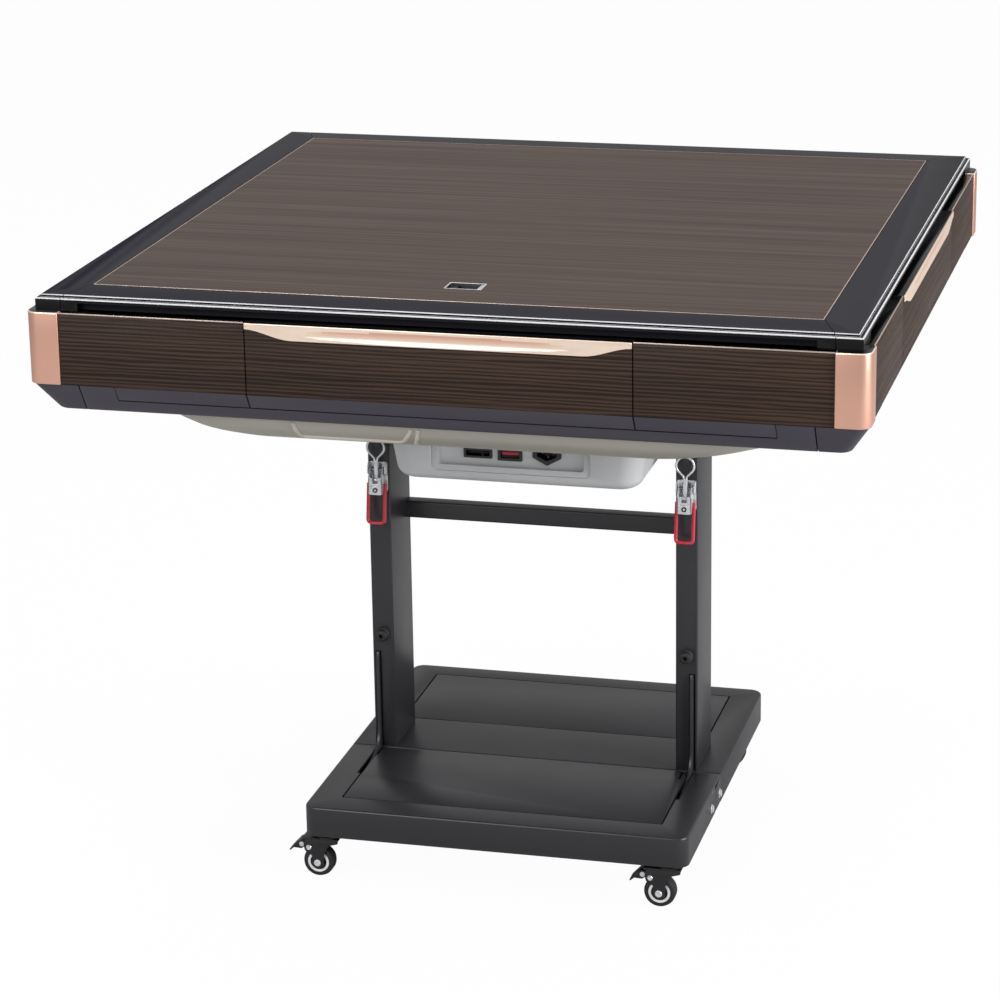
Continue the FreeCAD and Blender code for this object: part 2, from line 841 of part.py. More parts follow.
def build_controls():
    """Recessed panel in the tub's front, holding a data socket, the power switch and the mains inlet."""
    blank = box(
        "control_blank",
        about(s.control_centre, s.control_width),
        (control_front, control_back),
        (control_low, control_high),
    )
    recess = box(
        "control_recess",
        about(s.control_centre, s.control_width - s.control_rim * 2),
        (control_front - s.overrun, fitting_face),
        (control_low + s.control_rim, control_high - s.control_rim),
    )
    fittings = (
        ("socket", s.socket_place, s.socket_width, s.socket_height),
        ("switch", s.switch_place, s.switch_width, s.switch_height),
        ("inlet", s.inlet_place, s.inlet_width, s.inlet_height),
    )
    holes = []
    for name, place, width, height in fittings:
        grown = s.touch_gap * 2
        hole = box(
            f"{name}_hole",
            about(place, width + grown),
            (control_front, control_back + s.overrun),
            about(fitting_middle, height + grown),
        )
        holes.append(hole)
    keep("control_panel", cut("control_cut", blank, recess, *holes))
    shells = []
    for name, place, width, height in fittings:
        wall = s.fitting_flange
        flange = box(
            f"{name}_flange",
            about(place, width + wall * 2),
            (fitting_face - wall, fitting_face),
            about(fitting_middle, height + wall * 2),
        )
        core = box(
            f"{name}_core",
            about(place, width),
            (fitting_face - wall, fitting_face + s.fitting_depth),
            about(fitting_middle, height),
        )
        mouth = box(
            f"{name}_mouth",
            about(place, width - wall * 2),
            (fitting_face - wall - s.overrun, fitting_face + s.fitting_depth - wall),
            about(fitting_middle, height - wall * 2),
        )
        shell = cut(f"{name}_shell", fuse(f"{name}_whole", flange, core), mouth)
        shells.append(shell)
    keep("panel_fittings", group("fittings", *shells))
    wall = s.fitting_flange
    half = s.switch_height / 2 - wall - s.touch_gap
    face = fitting_face - wall
    outline = [
        (face, fitting_middle - half),
        (face + s.fitting_flange, fitting_middle),
        (face, fitting_middle + half),
        (face + s.fitting_depth / 2, fitting_middle + half / 2),
        (face + s.fitting_depth / 2, fitting_middle - half / 2),
    ]
    rocker = slab(
        "rocker_bar",
        "YZ",
        outline,
        about(s.switch_place, s.switch_width - wall * 2 - s.touch_gap * 2),
    )
    keep("power_switch", rocker)


def build_stand():
    """Two box columns tied by a crossbar, with rubber bumpers and curved braces at their fronts."""
    bumpers = []
    braces = []
    brackets = []
    pins = []
    for name, sign in BOTH_SIDES:
        middle = sign * half_spacing
        outer = about(middle, s.column_width)
        blank = box(f"{name}_column_blank", outer, (s.column_front, column_back), (base_top, column_top))
        bore = box(
            f"{name}_column_bore",
            about(middle, s.column_width - s.column_wall * 2),
            (s.column_front + s.column_wall, column_back - s.column_wall),
            (base_top - s.overrun, column_top - s.column_wall),
        )
        slot = box(
            f"{name}_column_slot",
            about(sign * brace_place, s.brace_slot_width),
            (s.column_front - s.overrun, s.column_front + s.column_wall + s.overrun),
            (base_top - s.overrun, brace_top + s.touch_gap),
        )
        keep(f"column_{name}", cut(f"{name}_column_cut", blank, bore, slot))
        bumper_ends = (s.column_front - s.bumper_thickness, s.column_front)
        centre = (middle, bumper_height)
        disc = prism(f"{name}_bumper_disc", "y", centre, bumper_ends, s.bumper_radius, HEAD_SIDES)
        sunk = (bumper_ends[0] - s.overrun, bumper_ends[0] + s.bumper_thickness / 2)
        hole = prism(f"{name}_bumper_hole", "y", centre, sunk, s.bumper_bore, RING_SIDES)
        bumpers.append(cut(f"{name}_bumper", disc, hole))
        braces.append(build_brace(name, sign))
        bracket_x = about(middle, s.bracket_thickness)
        plate = box(
            f"{name}_bracket_plate",
            bracket_x,
            (column_back, tilt_pin_y + s.bracket_margin),
            (tilt_pin_z - s.bracket_margin, tilt_pin_z + s.bracket_margin),
        )
        brackets.append(plate)
        ear_outer = half_spacing + s.column_width / 2 + s.ear_gap + s.ear_thickness
        inner_end = half_spacing + s.bracket_thickness / 2
        pin_ends = (sign * inner_end, sign * (ear_outer + s.touch_gap))
        pin_place = (tilt_pin_y, tilt_pin_z)
        pins.append(prism(f"{name}_tilt_pin", "x", pin_place, pin_ends, s.tilt_pin_radius, HEAD_SIDES))
    keep("column_bumpers", group("bumpers", *bumpers))
    keep("column_braces", group("braces", *braces))
    joints = [fuse(f"tilt_joint{number}", *pair) for number, pair in enumerate(zip(brackets, pins))]
    keep("tilt_brackets", group("tilt_joints", *joints))
    inner = half_spacing - s.column_width / 2
    bar_y = (column_back - s.crossbar_depth, column_back)
    bar_z = (crossbar_low, crossbar_low + s.crossbar_height)
    keep("crossbar", box("crossbar_box", (-inner, inner), bar_y, bar_z))


def build_brace(name, sign):
    """Curved plate that runs down a column's slot and forward onto the base arm."""
    arm_top = s.base_low + s.arm_height
    front = s.column_front - s.brace_proud
    back = s.column_front + s.column_wall
    reach = s.base_split - s.brace_reach
    split = s.base_split - s.touch_gap
    outline = [
        (back, brace_top),
        (front + s.brace_proud / 2, brace_top),
        (front, brace_top - s.brace_proud * 2),
        (front, base_top),
        (reach, arm_top + s.brace_thickness / 2),
        (reach, arm_top),
        (split, arm_top),
        (split, base_top),
        (back, base_top),
    ]
    rounds = [((3,), s.brace_rounding)]
    ends = about(sign * brace_place, s.brace_thickness)
    return slab(f"{name}_brace", "YZ", outline, ends, rounds)


def grooved(name, tray, lines):
    """Shallow grooves round the base's top panels. Each line is an x span and a y span."""
    depth = (base_top - s.groove_depth, base_top + s.overrun)
    tools = [box(f"{name}_groove{number}", x, y, depth) for number, (x, y) in enumerate(lines)]
    return cut(f"{name}_grooved", tray, *tools)


def base_tray(name, near, far, outer_corners):
    """Pressed tray, open below: near and far are its y ends, rounded at the outer corners."""
    half = s.base_width / 2
    outline = [(half, near), (half, far), (-half, far), (-half, near)]
    blank = slab(f"{name}_blank", "XY", outline, (s.base_low, base_top), [(outer_corners, s.base_rounding)])
    sheet_wall = s.base_sheet
    inner_half = half - sheet_wall
    step = sheet_wall if far.value > near.value else -sheet_wall
    hollow_line = [
        (inner_half, near + step),
        (inner_half, far - step),
        (-inner_half, far - step),
        (-inner_half, near + step),
    ]
    hollow = slab(
        f"{name}_hollow",
        "XY",
        hollow_line,
        (s.base_low - s.overrun, base_top - sheet_wall),
        [(outer_corners, s.base_rounding - sheet_wall)],
    )
    return cut(f"{name}_tray", blank, hollow)


def build_rear_base():
    """Fixed half of the base. Two arms reach forward under the folding half to the middle casters."""
    half = s.base_width / 2
    tray = base_tray("rear", s.base_split, s.base_rear, (1, 2))
    parts = [tray]
    for name, sign in BOTH_SIDES:
        arm = box(
            f"{name}_arm",
            about(sign * middle_caster_x, s.arm_width),
            (s.base_split - s.arm_reach, s.base_split),
            (s.base_low, s.base_low + s.arm_height),
        )
        under_lip = base_top - s.base_sheet - s.touch_gap
        cheek_line = [
            (s.base_split, under_lip),
            (s.base_split - s.side_split_reach, s.base_low + s.side_split_rise),
            (s.base_split - s.side_split_reach, s.base_low),
            (s.base_split, s.base_low),
        ]
        cheek = slab(
            f"{name}_cheek", "YZ", cheek_line, (sign * half, sign * (half - s.base_sheet))
        )
        parts += [arm, cheek]
        parts.append(stem_block(f"rear_{name}", sign * caster_x, rear_caster_y))
    whole = fuse("rear_whole", *parts)
    holes = []
    for name, sign in BOTH_SIDES:
        holes.append(stem_hole(f"rear_{name}", sign * caster_x, rear_caster_y))
        holes.append(stem_hole(f"middle_{name}", sign * middle_caster_x, middle_caster_y))
    drilled = cut("rear_drilled", whole, *holes)
    across = about(ZERO, panel_groove_place * 2)
    wide = s.groove_width
    lines = [
        (across, about(rear_groove_front_y, wide)),
        (across, about(rear_groove_rear_y, wide)),
    ]
    for _, sign in BOTH_SIDES:
        lines.append((about(sign * panel_groove_place, wide), (rear_groove_front_y, rear_groove_rear_y)))
    keep("base_rear", grooved("rear", drilled, lines))


def stem_block(name, x, y):
    """Boss inside the tray that a caster's stem turns in."""
    width = (s.stem_radius + s.socket_wall) * 2
    return box(
        f"{name}_stem_block", about(x, width), about(y, width), (s.base_low, base_top - s.base_sheet)
    )


def stem_hole(name, x, y):
    ends = (s.base_low - s.overrun, s.base_low + s.stem_length + s.touch_gap)
    return prism(f"{name}_stem_hole", "z", (x, y), ends, s.stem_radius + s.axle_gap, HEAD_SIDES)


def build_front_base():
    """Folding half of the base. Its top sheet laps over the rear half's cheeks and clears the braces."""
    near = s.base_split - s.base_split_gap
    half = s.base_width / 2
    tray = base_tray("front", near, s.base_front, (1, 2))
    blocks = [
        stem_block(f"front_{name}", sign * caster_x, front_caster_y) for name, sign in BOTH_SIDES
    ]
    whole = fuse("front_whole", tray, *blocks)
    tools = [
        box(
            "front_open_back",
            (-half - s.overrun, half + s.overrun),
            (near - s.side_split_reach, near + s.overrun),
            (s.base_low - s.overrun, base_top - s.base_sheet),
        )
    ]
    for name, sign in BOTH_SIDES:
        tools.append(stem_hole(f"front_{name}", sign * caster_x, front_caster_y))
        slot = box(
            f"{name}_base_slot",
            about(sign * brace_place, s.brace_slot_width),
            (s.base_split - s.brace_slot_reach, near + s.overrun),
            (base_top - s.base_sheet - s.overrun, base_top + s.overrun),
        )
        tools.append(slot)
    opened = cut("front_opened", whole, *tools)
    wide = s.groove_width
    lines = [(about(ZERO, panel_groove_place * 2), about(front_groove_y, wide))]
    for _, sign in BOTH_SIDES:
        lines.append((about(sign * panel_groove_place, wide), (front_groove_y, near + s.overrun)))
    keep("base_front", grooved("front", opened, lines))
    for label, y in (("front", front_bolt_y), ("rear", rear_bolt_y)):
        heads = []
        for name, sign in BOTH_SIDES:
            ends = (sign * half, sign * (half + s.bolt_head))
            heads.append(prism(f"{label}_bolt_{name}", "x", (y, bolt_height), ends, s.bolt_radius, BOLT_SIDES))
        keep(f"{label}_hinge_bolts", group(f"{label}_bolts", *heads))


CASTERS = []
for _name, _sign in BOTH_SIDES:
    CASTERS.append((f"front_{_name}", _sign * caster_x, front_caster_y, True))
    CASTERS.append((f"middle_{_name}", _sign * middle_caster_x, middle_caster_y, False))
    CASTERS.append((f"rear_{_name}", _sign * caster_x, rear_caster_y, True))


def build_casters():
    """Swivel casters with one narrow wheel. The four at the corners have a brake pedal."""
    for name, x, y, braked in CASTERS:
        wheel_x = x - s.caster_trail
        half_wheel = s.wheel_width / 2
        cheek_inner = half_wheel + s.wheel_gap
        cheek_outer = cheek_inner + s.cheek_thickness
        crown_top = s.base_low - s.crown_drop + s.crown_thickness
        crown_low = s.base_low - s.crown_drop
        head_ends = (crown_low, s.base_low - s.swivel_gap)
        head = prism(f"{name}_head", "z", (x, y), head_ends, s.swivel_radius, HEAD_SIDES)
        stem_ends = (s.base_low - s.swivel_gap, s.base_low + s.stem_length)
        stem = prism(f"{name}_stem", "z", (x, y), stem_ends, s.stem_radius, RING_SIDES)
        crown_x = (x - s.crown_reach, x + s.swivel_radius)
        crown = box(f"{name}_crown", crown_x, (y - cheek_outer, y + cheek_outer), (crown_low, crown_top))
        parts = [head, stem, crown]
        eye = s.axle_radius * 2
        outline = [
            (x - s.crown_reach, crown_low),
            (x - s.crown_reach, crown_low - s.swivel_radius),
            (wheel_x - eye, s.wheel_radius - eye),
            (wheel_x + eye, s.wheel_radius - eye),
            (wheel_x + eye + s.axle_radius, s.wheel_radius + eye),
            (x + s.swivel_radius, crown_low),
        ]
        for side, sign in BOTH_SIDES:
            ends = (y + sign * cheek_inner, y + sign * cheek_outer)
            parts.append(slab(f"{name}_cheek_{side}", "XZ", outline, ends))
        axle_ends = (y - cheek_outer, y + cheek_outer)
        axle_place = (wheel_x, s.wheel_radius)
        parts.append(prism(f"{name}_axle", "y", axle_place, axle_ends, s.axle_radius, RING_SIDES))
        keep(f"caster_fork_{name}", fuse(f"{name}_fork", *parts))
        wheel_ends = (y - half_wheel, y + half_wheel)
        disc = prism(f"{name}_disc", "y", axle_place, wheel_ends, s.wheel_radius, WHEEL_SIDES)
        bore_ends = (y - half_wheel - s.overrun, y + half_wheel + s.overrun)
        bore = prism(f"{name}_bore", "y", axle_place, bore_ends, s.axle_radius + s.axle_gap, HEAD_SIDES)
        keep(f"caster_wheel_{name}", cut(f"{name}_wheel", disc, bore))
        if braked:
            build_pedal(name, x, y, cheek_inner)


def build_pedal(name, x, y, cheek_inner):
    """Brake pedal between the fork's cheeks, pressed down to stop the wheel."""
    pin_x = x - s.pedal_pin_x
    lift = s.pedal_thickness * 2
    outline = [
        (pin_x + s.pedal_pin_radius, pedal_pin_z),
        (pin_x + s.pedal_pin_radius, pedal_pin_z + s.pedal_pin_radius),
        (pin_x - s.pedal_pin_radius, pedal_pin_z + lift),
        (pin_x - s.pedal_length, pedal_pin_z - s.pedal_length / 2 + s.pedal_thickness),
        (pin_x - s.pedal_length, pedal_pin_z - s.pedal_length / 2),
        (pin_x - s.pedal_pin_radius, pedal_pin_z - s.pedal_thickness),
    ]
    inner = cheek_inner - s.touch_gap
    keep(f"caster_pedal_{name}", slab(f"{name}_pedal", "XZ", outline, (y - inner, y + inner)))


def build_latches():
    """Toggle latch on each column: bracket, hand lever with a wire grip, and a link with a ring."""
    brackets = []
    for name, sign in BOTH_SIDES:
        middle = sign * half_spacing
        half = s.latch_width / 2
        plate_front = s.column_front - s.latch_plate
        parts = [
            box(
                f"{name}_latch_plate",
                about(middle, s.latch_width),
                (plate_front, s.column_front),
                (latch_plate_low, latch_plate_high),
            )
        ]
        ear_front = latch_pivot_y - s.latch_pivot_radius * 2
        for side, way in BOTH_SIDES:
            ends = (middle + way * half, middle + way * (half - s.latch_plate))
            ear_z = (latch_ear_low, latch_plate_high)
            parts.append(box(f"{name}_latch_ear_{side}", ends, (ear_front, plate_front), ear_z))
        pivot = (latch_pivot_y, latch_pivot_z)
        pivot_ends = about(middle, s.latch_width)
        parts.append(prism(f"{name}_latch_pivot", "x", pivot, pivot_ends, s.latch_pivot_radius, RING_SIDES))
        brackets.append(fuse(f"{name}_latch_base", *parts))
        build_lever(name, middle)
        build_link(name, middle)
    keep("latch_brackets", group("latch_bases", *brackets))


def build_lever(name, middle):
    """Lever body with two cheeks and a slot that lets the link through as it opens."""
    half = s.latch_width / 2 - s.latch_plate - s.latch_side_gap
    front = latch_lever_front
    plate_back = front + s.latch_lever_plate
    parts = [
        box(
            f"{name}_lever_plate",
            (middle - half, middle + half),
            (front, plate_back),
            (latch_lever_low, latch_lever_high),
        )
    ]
    cheek = [
        (front, latch_lever_low),
        (plate_back, latch_lever_low),
        (latch_cheek_back, latch_link_pin_z - s.latch_lever_plate),
        (latch_cheek_back, latch_cheek_high),
        (latch_pivot_y - s.latch_pivot_radius * 2, latch_cheek_high),
        (front, latch_lever_high),
    ]
    for side, way in BOTH_SIDES:
        ends = (middle + way * half, middle + way * (half - s.latch_cheek))
        parts.append(slab(f"{name}_lever_cheek_{side}", "YZ", cheek, ends))
    link_pin = (latch_link_pin_y, latch_link_pin_z)
    pin_ends = (middle - half, middle + half)
    pin = prism(f"{name}_link_pin", "x", link_pin, pin_ends, s.latch_link_pin_radius, RING_SIDES)
    slot_half = s.latch_stem_width
    slot = box(
        f"{name}_lever_slot",
        (middle - slot_half, middle + slot_half),
        (front - s.overrun, plate_back + s.overrun),
        (latch_lever_high - s.latch_lever_slot, latch_lever_high + s.overrun),
    )
    pivot = (latch_pivot_y, latch_pivot_z)
    wide = (middle - s.latch_width, middle + s.latch_width)
    bore_radius = s.latch_pivot_radius + s.latch_bore_gap
    bore = prism(f"{name}_lever_bore", "x", pivot, wide, bore_radius, HEAD_SIDES)
    body = cut(f"{name}_lever_body", fuse(f"{name}_lever_whole", *parts, pin), slot, bore)
    bar = s.latch_grip_bar
    grip_y = (front, front + bar)
    outer = s.latch_grip_width / 2
    loops = []
    for part, inset in (("outside", ZERO), ("inside", bar)):
        low, high = latch_grip_low + inset, latch_lever_low - inset
        loop_half = outer - inset
        line = [
            (middle - loop_half, low),
            (middle + loop_half, low),
            (middle + loop_half, high),
            (middle - loop_half, high),
        ]
        rounds = [((0, 1), s.latch_grip_rounding - inset)]
        loops.append(slab(f"{name}_grip_{part}", "XZ", line, grip_y, rounds))
    keep(f"latch_lever_{name}", fuse(f"{name}_lever", body, cut(f"{name}_grip", *loops)))


def build_link(name, middle):
    """Flat link: eye on the lever's pin, stem, and an open ring that pulls on the keeper."""
    thick = about(latch_link_pin_y, s.latch_link_thickness)
    ring_middle = latch_ring_middle
    inner_radius = s.latch_ring_radius - s.latch_ring_bar
    pin_z = latch_link_pin_z
    eye_radius = s.latch_link_pin_radius * 2
    stem = box(
        f"{name}_link_stem",
        about(middle, s.latch_stem_width),
        thick,
        (pin_z, ring_middle - inner_radius),
    )
    eye_ends = about(middle, s.latch_stem_width * 2)
    eye = prism(f"{name}_link_eye", "x", (latch_link_pin_y, pin_z), eye_ends, eye_radius, RING_SIDES)
    ring = prism(f"{name}_link_ring", "y", (middle, ring_middle), thick, s.latch_ring_radius, RING_SIDES)
    through = (thick[0] - s.overrun, thick[1] + s.overrun)
    hole = prism(f"{name}_link_hole", "y", (middle, ring_middle), through, inner_radius, RING_SIDES)
    pin_hole = prism(
        f"{name}_link_bore",
        "x",
        (latch_link_pin_y, pin_z),
        about(middle, s.latch_width),
        s.latch_link_pin_radius + s.latch_bore_gap,
        HEAD_SIDES,
    )
    ring_with_stem = cut(f"{name}_link_cut", fuse(f"{name}_link_whole", stem, eye, ring), hole, pin_hole)
    keep(f"latch_link_{name}", ring_with_stem)


def build_hangers():
    """Flanged ears under the dish that turn on the tilt pins, and the keepers that the latches pull."""
    ears = []
    keepers = []
    for name, sign in BOTH_SIDES:
        ear_inner = half_spacing + s.column_width / 2 + s.ear_gap
        ear_outer = ear_inner + s.ear_thickness
        ear_y = about(tilt_pin_y, s.ear_half_width * 2)
        ear = box(
            f"{name}_ear",
            (sign * ear_inner, sign * ear_outer),
            ear_y,
            (tilt_pin_z - s.ear_half_width, dish_low),
        )
        flange = box(
            f"{name}_ear_flange",
            (sign * ear_inner, sign * (ear_outer + s.ear_flange)),
            ear_y,
            (dish_low - s.ear_thickness, dish_low),
        )
        bore = prism(
            f"{name}_ear_bore",
            "x",
            (tilt_pin_y, tilt_pin_z),
            (sign * (ear_inner - s.overrun), sign * (ear_outer + s.overrun)),
            s.tilt_pin_radius + s.tilt_bore_gap,
            HEAD_SIDES,
        )
        ears.append(cut(f"{name}_hanger", fuse(f"{name}_ear_whole", ear, flange), bore))
        keeper_front = latch_link_pin_y + s.latch_link_thickness / 2 + s.keeper_gap
        plate_back = keeper_front + s.keeper_thickness
        keeper_x = about(sign * half_spacing, s.keeper_width)
        keepers.append(
            box(
                f"{name}_keeper_plate",
                keeper_x,
                (keeper_front, plate_back),
                (latch_ring_middle + s.touch_gap, dish_low),
            )
        )
    keep("hangers_and_keepers", group("hangers", *ears, *keepers))


def build_playfield():
    """Playing surface under the cover, with the centre console and the four tile lifts."""
    half = ledge_inner + s.playfield_overlap - s.touch_gap
    blank = box("playfield_blank", (-half, half), (-half, half), (rail_low - s.playfield_thickness, rail_low))
    deep = (rail_low - s.playfield_thickness - s.overrun, rail_low + s.overrun)
    tools = [rod("console_hole", "z", (ZERO, ZERO), deep, s.console_radius + s.touch_gap)]
    lifts = []
    for quarter, side in enumerate(SIDE_NAMES):
        grown = s.lift_gap * 2
        slot = box(
            f"lift_slot_{side}",
            about(ZERO, s.lift_length + grown),
            about(-lift_middle, s.lift_width + grown),
            deep,
        )
        tools.append(group(f"lift_slot_turned_{side}", slot, quarter_turns=quarter))
        plate = box(
            f"lift_plate_{side}",
            about(ZERO, s.lift_length),
            about(-lift_middle, s.lift_width),
            (rail_low - s.playfield_thickness, rail_low),
        )
        lifts.append(group(f"lift_plate_turned_{side}", plate, quarter_turns=quarter))
    keep("playing_surface", cut("playfield_cut", blank, *tools))
    keep("tile_lifts", group("lifts", *lifts))
    console_low = rail_low - s.console_depth
    console = [
        (ZERO, console_low),
        (s.console_radius, console_low),
        (s.console_radius, rail_low + s.console_rise),
        (s.dome_radius, rail_low + s.console_rise),
        (s.dome_radius, rail_low - s.console_rim),
        (ZERO, rail_low - s.console_rim),
    ]
    keep("centre_console", turned("console_turn", console))
    dome_ends = (rail_low - s.console_rim, rail_low + s.dome_height)
    keep("dice_dome", rod("dome_disc", "z", (ZERO, ZERO), dome_ends, s.dome_radius - s.touch_gap))


def build_machinery(posts):
    """Deck plate inside the skirt, corner posts, drum with its shaft and motor, conveyors, circuit board."""
    deck_top = skirt_low + s.deck_thickness
    deck = box(
        "deck_plate",
        about(ZERO, skirt_inner_width),
        about(ZERO, skirt_inner_width),
        (skirt_low, deck_top),
    )
    hole = rod(
        "deck_hole",
        "z",
        (ZERO, ZERO),
        (skirt_low - s.overrun, deck_top + s.overrun),
        s.shaft_radius + s.drum_bore_gap,
    )
    keep("machine_frame", group("frame_parts", cut("deck_cut", deck, hole), *posts))
    drum_top = drum_low + s.drum_thickness
    motor_top = motor_low + s.motor_height
    drum = [
        (ZERO, motor_top),
        (s.shaft_radius, motor_top),
        (s.shaft_radius, drum_low),
        (drum_radius, drum_low),
        (drum_radius, drum_low + s.drum_rim_height),
        (drum_radius - s.drum_rim, drum_low + s.drum_rim_height),
        (drum_radius - s.drum_rim, drum_top),
        (s.drum_hub_radius, drum_top),
        (s.drum_hub_radius, drum_low + s.drum_rim_height),
        (ZERO, drum_low + s.drum_rim_height),
    ]
    keep("shuffle_drum", turned("drum_turn", drum))
    case = rod("motor_case", "z", (ZERO, ZERO), (motor_low, motor_top - s.touch_gap), s.motor_radius)
    foot = box(
        "motor_foot",
        about(ZERO, s.motor_radius * 2),
        about(ZERO, s.motor_radius * 2),
        (tub_low + s.shell_wall, motor_low),
    )
    keep("drum_motor", fuse("motor_whole", case, foot))
    belts = []
    for quarter, side in enumerate(SIDE_NAMES):
        belt = box(
            f"belt_{side}",
            about(ZERO, s.conveyor_length),
            about(-conveyor_middle, s.conveyor_width),
            (deck_top, deck_top + s.conveyor_height),
        )
        belts.append(group(f"belt_turned_{side}", belt, quarter_turns=quarter))
    keep("tile_conveyors", group("belts", *belts))
    board = box(
        "board_plate",
        about(ZERO, s.board_width),
        (board_front, board_front + s.board_thickness),
        (tub_low + s.shell_wall, tub_low + s.shell_wall + s.board_height),
    )
    keep("circuit_board", board)


def check_and_write():
    """Stop on any failed object or bad shape, then write one file for each node."""
    document.recompute()
    failed = [
        thing.Name for thing in document.Objects if {"Invalid", "Error"} & set(thing.State)
    ]
    if failed:
        raise RuntimeError(f"failed objects: {failed}")
    os.makedirs("parts", exist_ok=True)
    for label, thing in nodes.items():
        shape = thing.Shape
        if shape.isNull() or not shape.isValid() or not shape.Solids:
            raise RuntimeError(f"bad shape: {label}")
        shape.exportStep(f"parts/{label}.step")
    print(len(nodes), "nodes written")


build_frame_rails()
build_cover()
corner_posts = build_corners()
build_side_panels()
build_skirt()
build_drawers()
build_bottom()
build_controls()
build_stand()
build_rear_base()
build_front_base()
build_casters()
build_latches()
build_hangers()
build_playfield()
build_machinery(corner_posts)
check_and_write()
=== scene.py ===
"""Looks of the folding automatic mahjong table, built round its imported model, in metres."""
import math

import bmesh
import bpy
from bpy.props import FloatProperty, FloatVectorProperty, PointerProperty
from mathutils import Matrix, Vector


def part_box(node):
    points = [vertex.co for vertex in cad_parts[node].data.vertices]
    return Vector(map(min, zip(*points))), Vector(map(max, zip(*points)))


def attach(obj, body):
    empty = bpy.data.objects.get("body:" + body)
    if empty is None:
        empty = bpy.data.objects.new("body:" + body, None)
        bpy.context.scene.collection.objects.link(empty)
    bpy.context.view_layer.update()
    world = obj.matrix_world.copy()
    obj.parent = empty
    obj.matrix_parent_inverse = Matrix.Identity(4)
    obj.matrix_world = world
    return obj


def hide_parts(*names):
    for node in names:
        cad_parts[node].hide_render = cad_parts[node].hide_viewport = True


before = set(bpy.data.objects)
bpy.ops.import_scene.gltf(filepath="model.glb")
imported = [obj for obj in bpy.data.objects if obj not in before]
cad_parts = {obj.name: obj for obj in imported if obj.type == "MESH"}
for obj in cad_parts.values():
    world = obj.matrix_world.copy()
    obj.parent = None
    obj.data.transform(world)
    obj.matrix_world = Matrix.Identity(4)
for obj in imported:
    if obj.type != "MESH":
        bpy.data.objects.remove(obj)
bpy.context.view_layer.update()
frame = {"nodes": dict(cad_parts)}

bl_info = {
    "name": "Automatic mahjong table",
    "version": (1, 0, 0),
    "blender": (4, 5, 0),
    "location": "View3D > Sidebar > Table",
    "description": "Builds the looks of a folding automatic mahjong table round its frame",
    "category": "Add Mesh",
}

SIDES = (("front", 0), ("right", 1), ("back", 2), ("left", 3))
HANDS = (("left", -1), ("right", 1))
SIGNS = (-1, 1)
AXES = {"x": 0, "y": 1, "z": 2}
QUARTER = math.pi / 2
UP = (0, 0, 1)
FINISHES = {}

BEYOND = 0.01  # how far a cutting block reaches past what it cuts
BOARD = 0.016  # thickness of the wooden sides
TRIM_LEG = 0.039  # length of a corner trim along each side
NOTCH_END = 0.1005  # distance of the skirt's notches from its corners
LATCH_X, BRACE_X = 0.196, 0.203  # middles of the latches and of the column braces
SPLIT_Y = -0.057  # where the base parts in two
FITTING_Y = -0.1295  # floor of the control panel's recess
TILT_PIN = (0.065, 0.522)  # y and z of the pins behind the columns
LEVER_PIN, LINK_PIN = (-0.062, 0.470), (-0.066, 0.458)  # y and z inside a latch
CASTER_X = 0.215  # where the casters' stems enter the base


# materials


def math_sign(operation, swapped=False):
    """Method that turns an arithmetic sign into a Math node."""

    def method(self, other):
        return self.sum(operation, *((other, self) if swapped else (self, other)))

    return method


class Wire:
    """One node output. Sums written with it add their Math nodes."""

    __add__, __radd__ = math_sign("ADD"), math_sign("ADD", True)
    __sub__, __rsub__ = math_sign("SUBTRACT"), math_sign("SUBTRACT", True)
    __mul__, __rmul__ = math_sign("MULTIPLY"), math_sign("MULTIPLY", True)

    def __init__(self, finish, socket):
        self.finish, self.socket = finish, socket

    def sum(self, operation, *values):
        return self.finish.node("ShaderNodeMath", {"operation": operation}, dict(enumerate(values)))

    def rise(self, low, high):
        """0 below low, 1 above high, smooth between."""
        sockets = {"Value": self, "From Min": low, "From Max": high}
        return self.finish.node("ShaderNodeMapRange", {"interpolation_type": "SMOOTHSTEP"}, sockets)


class Finish:
    """A material being put together round one Principled shader."""

    def __init__(self, name, **even):
        self.material = bpy.data.materials.new(name)
        self.material.use_nodes = True
        self.tree = self.material.node_tree
        self.shader = self.tree.nodes["Principled BSDF"]
        self.set(**even)

    def set(self, **sockets):
        """Set or link the shader's own sockets. A name's underscores stand for spaces."""
        for name, value in sockets.items():
            self.join(self.shader.inputs[name.replace("_", " ")], value)

    def join(self, socket, value):
        if isinstance(value, Wire):
            self.tree.links.new(value.socket, socket)
        elif isinstance(value, tuple) and len(value) == 3 and socket.type == "RGBA":
            socket.default_value = (*value, 1.0)
        else:
            socket.default_value = value

    def node(self, kind, settings=None, sockets=None, output=0):
        made = self.tree.nodes.new(kind)
        for name, value in (settings or {}).items():
            setattr(made, name, value)
        for name, value in (sockets or {}).items():
            self.join(made.inputs[name], value)
        return Wire(self, made.outputs[output])

    def place(self, scale=(1, 1, 1)):
        """Object coordinates, stretched."""
        spot = self.node("ShaderNodeTexCoord", output="Object")
        return self.node("ShaderNodeMapping", None, {"Vector": spot, "Scale": scale})

    def noise(self, vector, scale, detail=3.0, roughness=0.55):
        sockets = {"Vector": vector, "Scale": scale, "Detail": detail, "Roughness": roughness}
        return self.node("ShaderNodeTexNoise", None, sockets)

    def mix(self, share, first, second):
        return self.node("ShaderNodeMix", {"data_type": "RGBA"}, {0: share, 6: first, 7: second}, 2)

    def clouded(self, share, colour, low, high):
        """Base colour that wanders between two shades of itself."""
        self.set(Base_Color=self.mix(share, shade(colour, low), shade(colour, high)))

    def bump(self, height, strength, distance):
        sockets = {"Height": height, "Strength": strength, "Distance": distance}
        self.set(Normal=self.node("ShaderNodeBump", None, sockets))


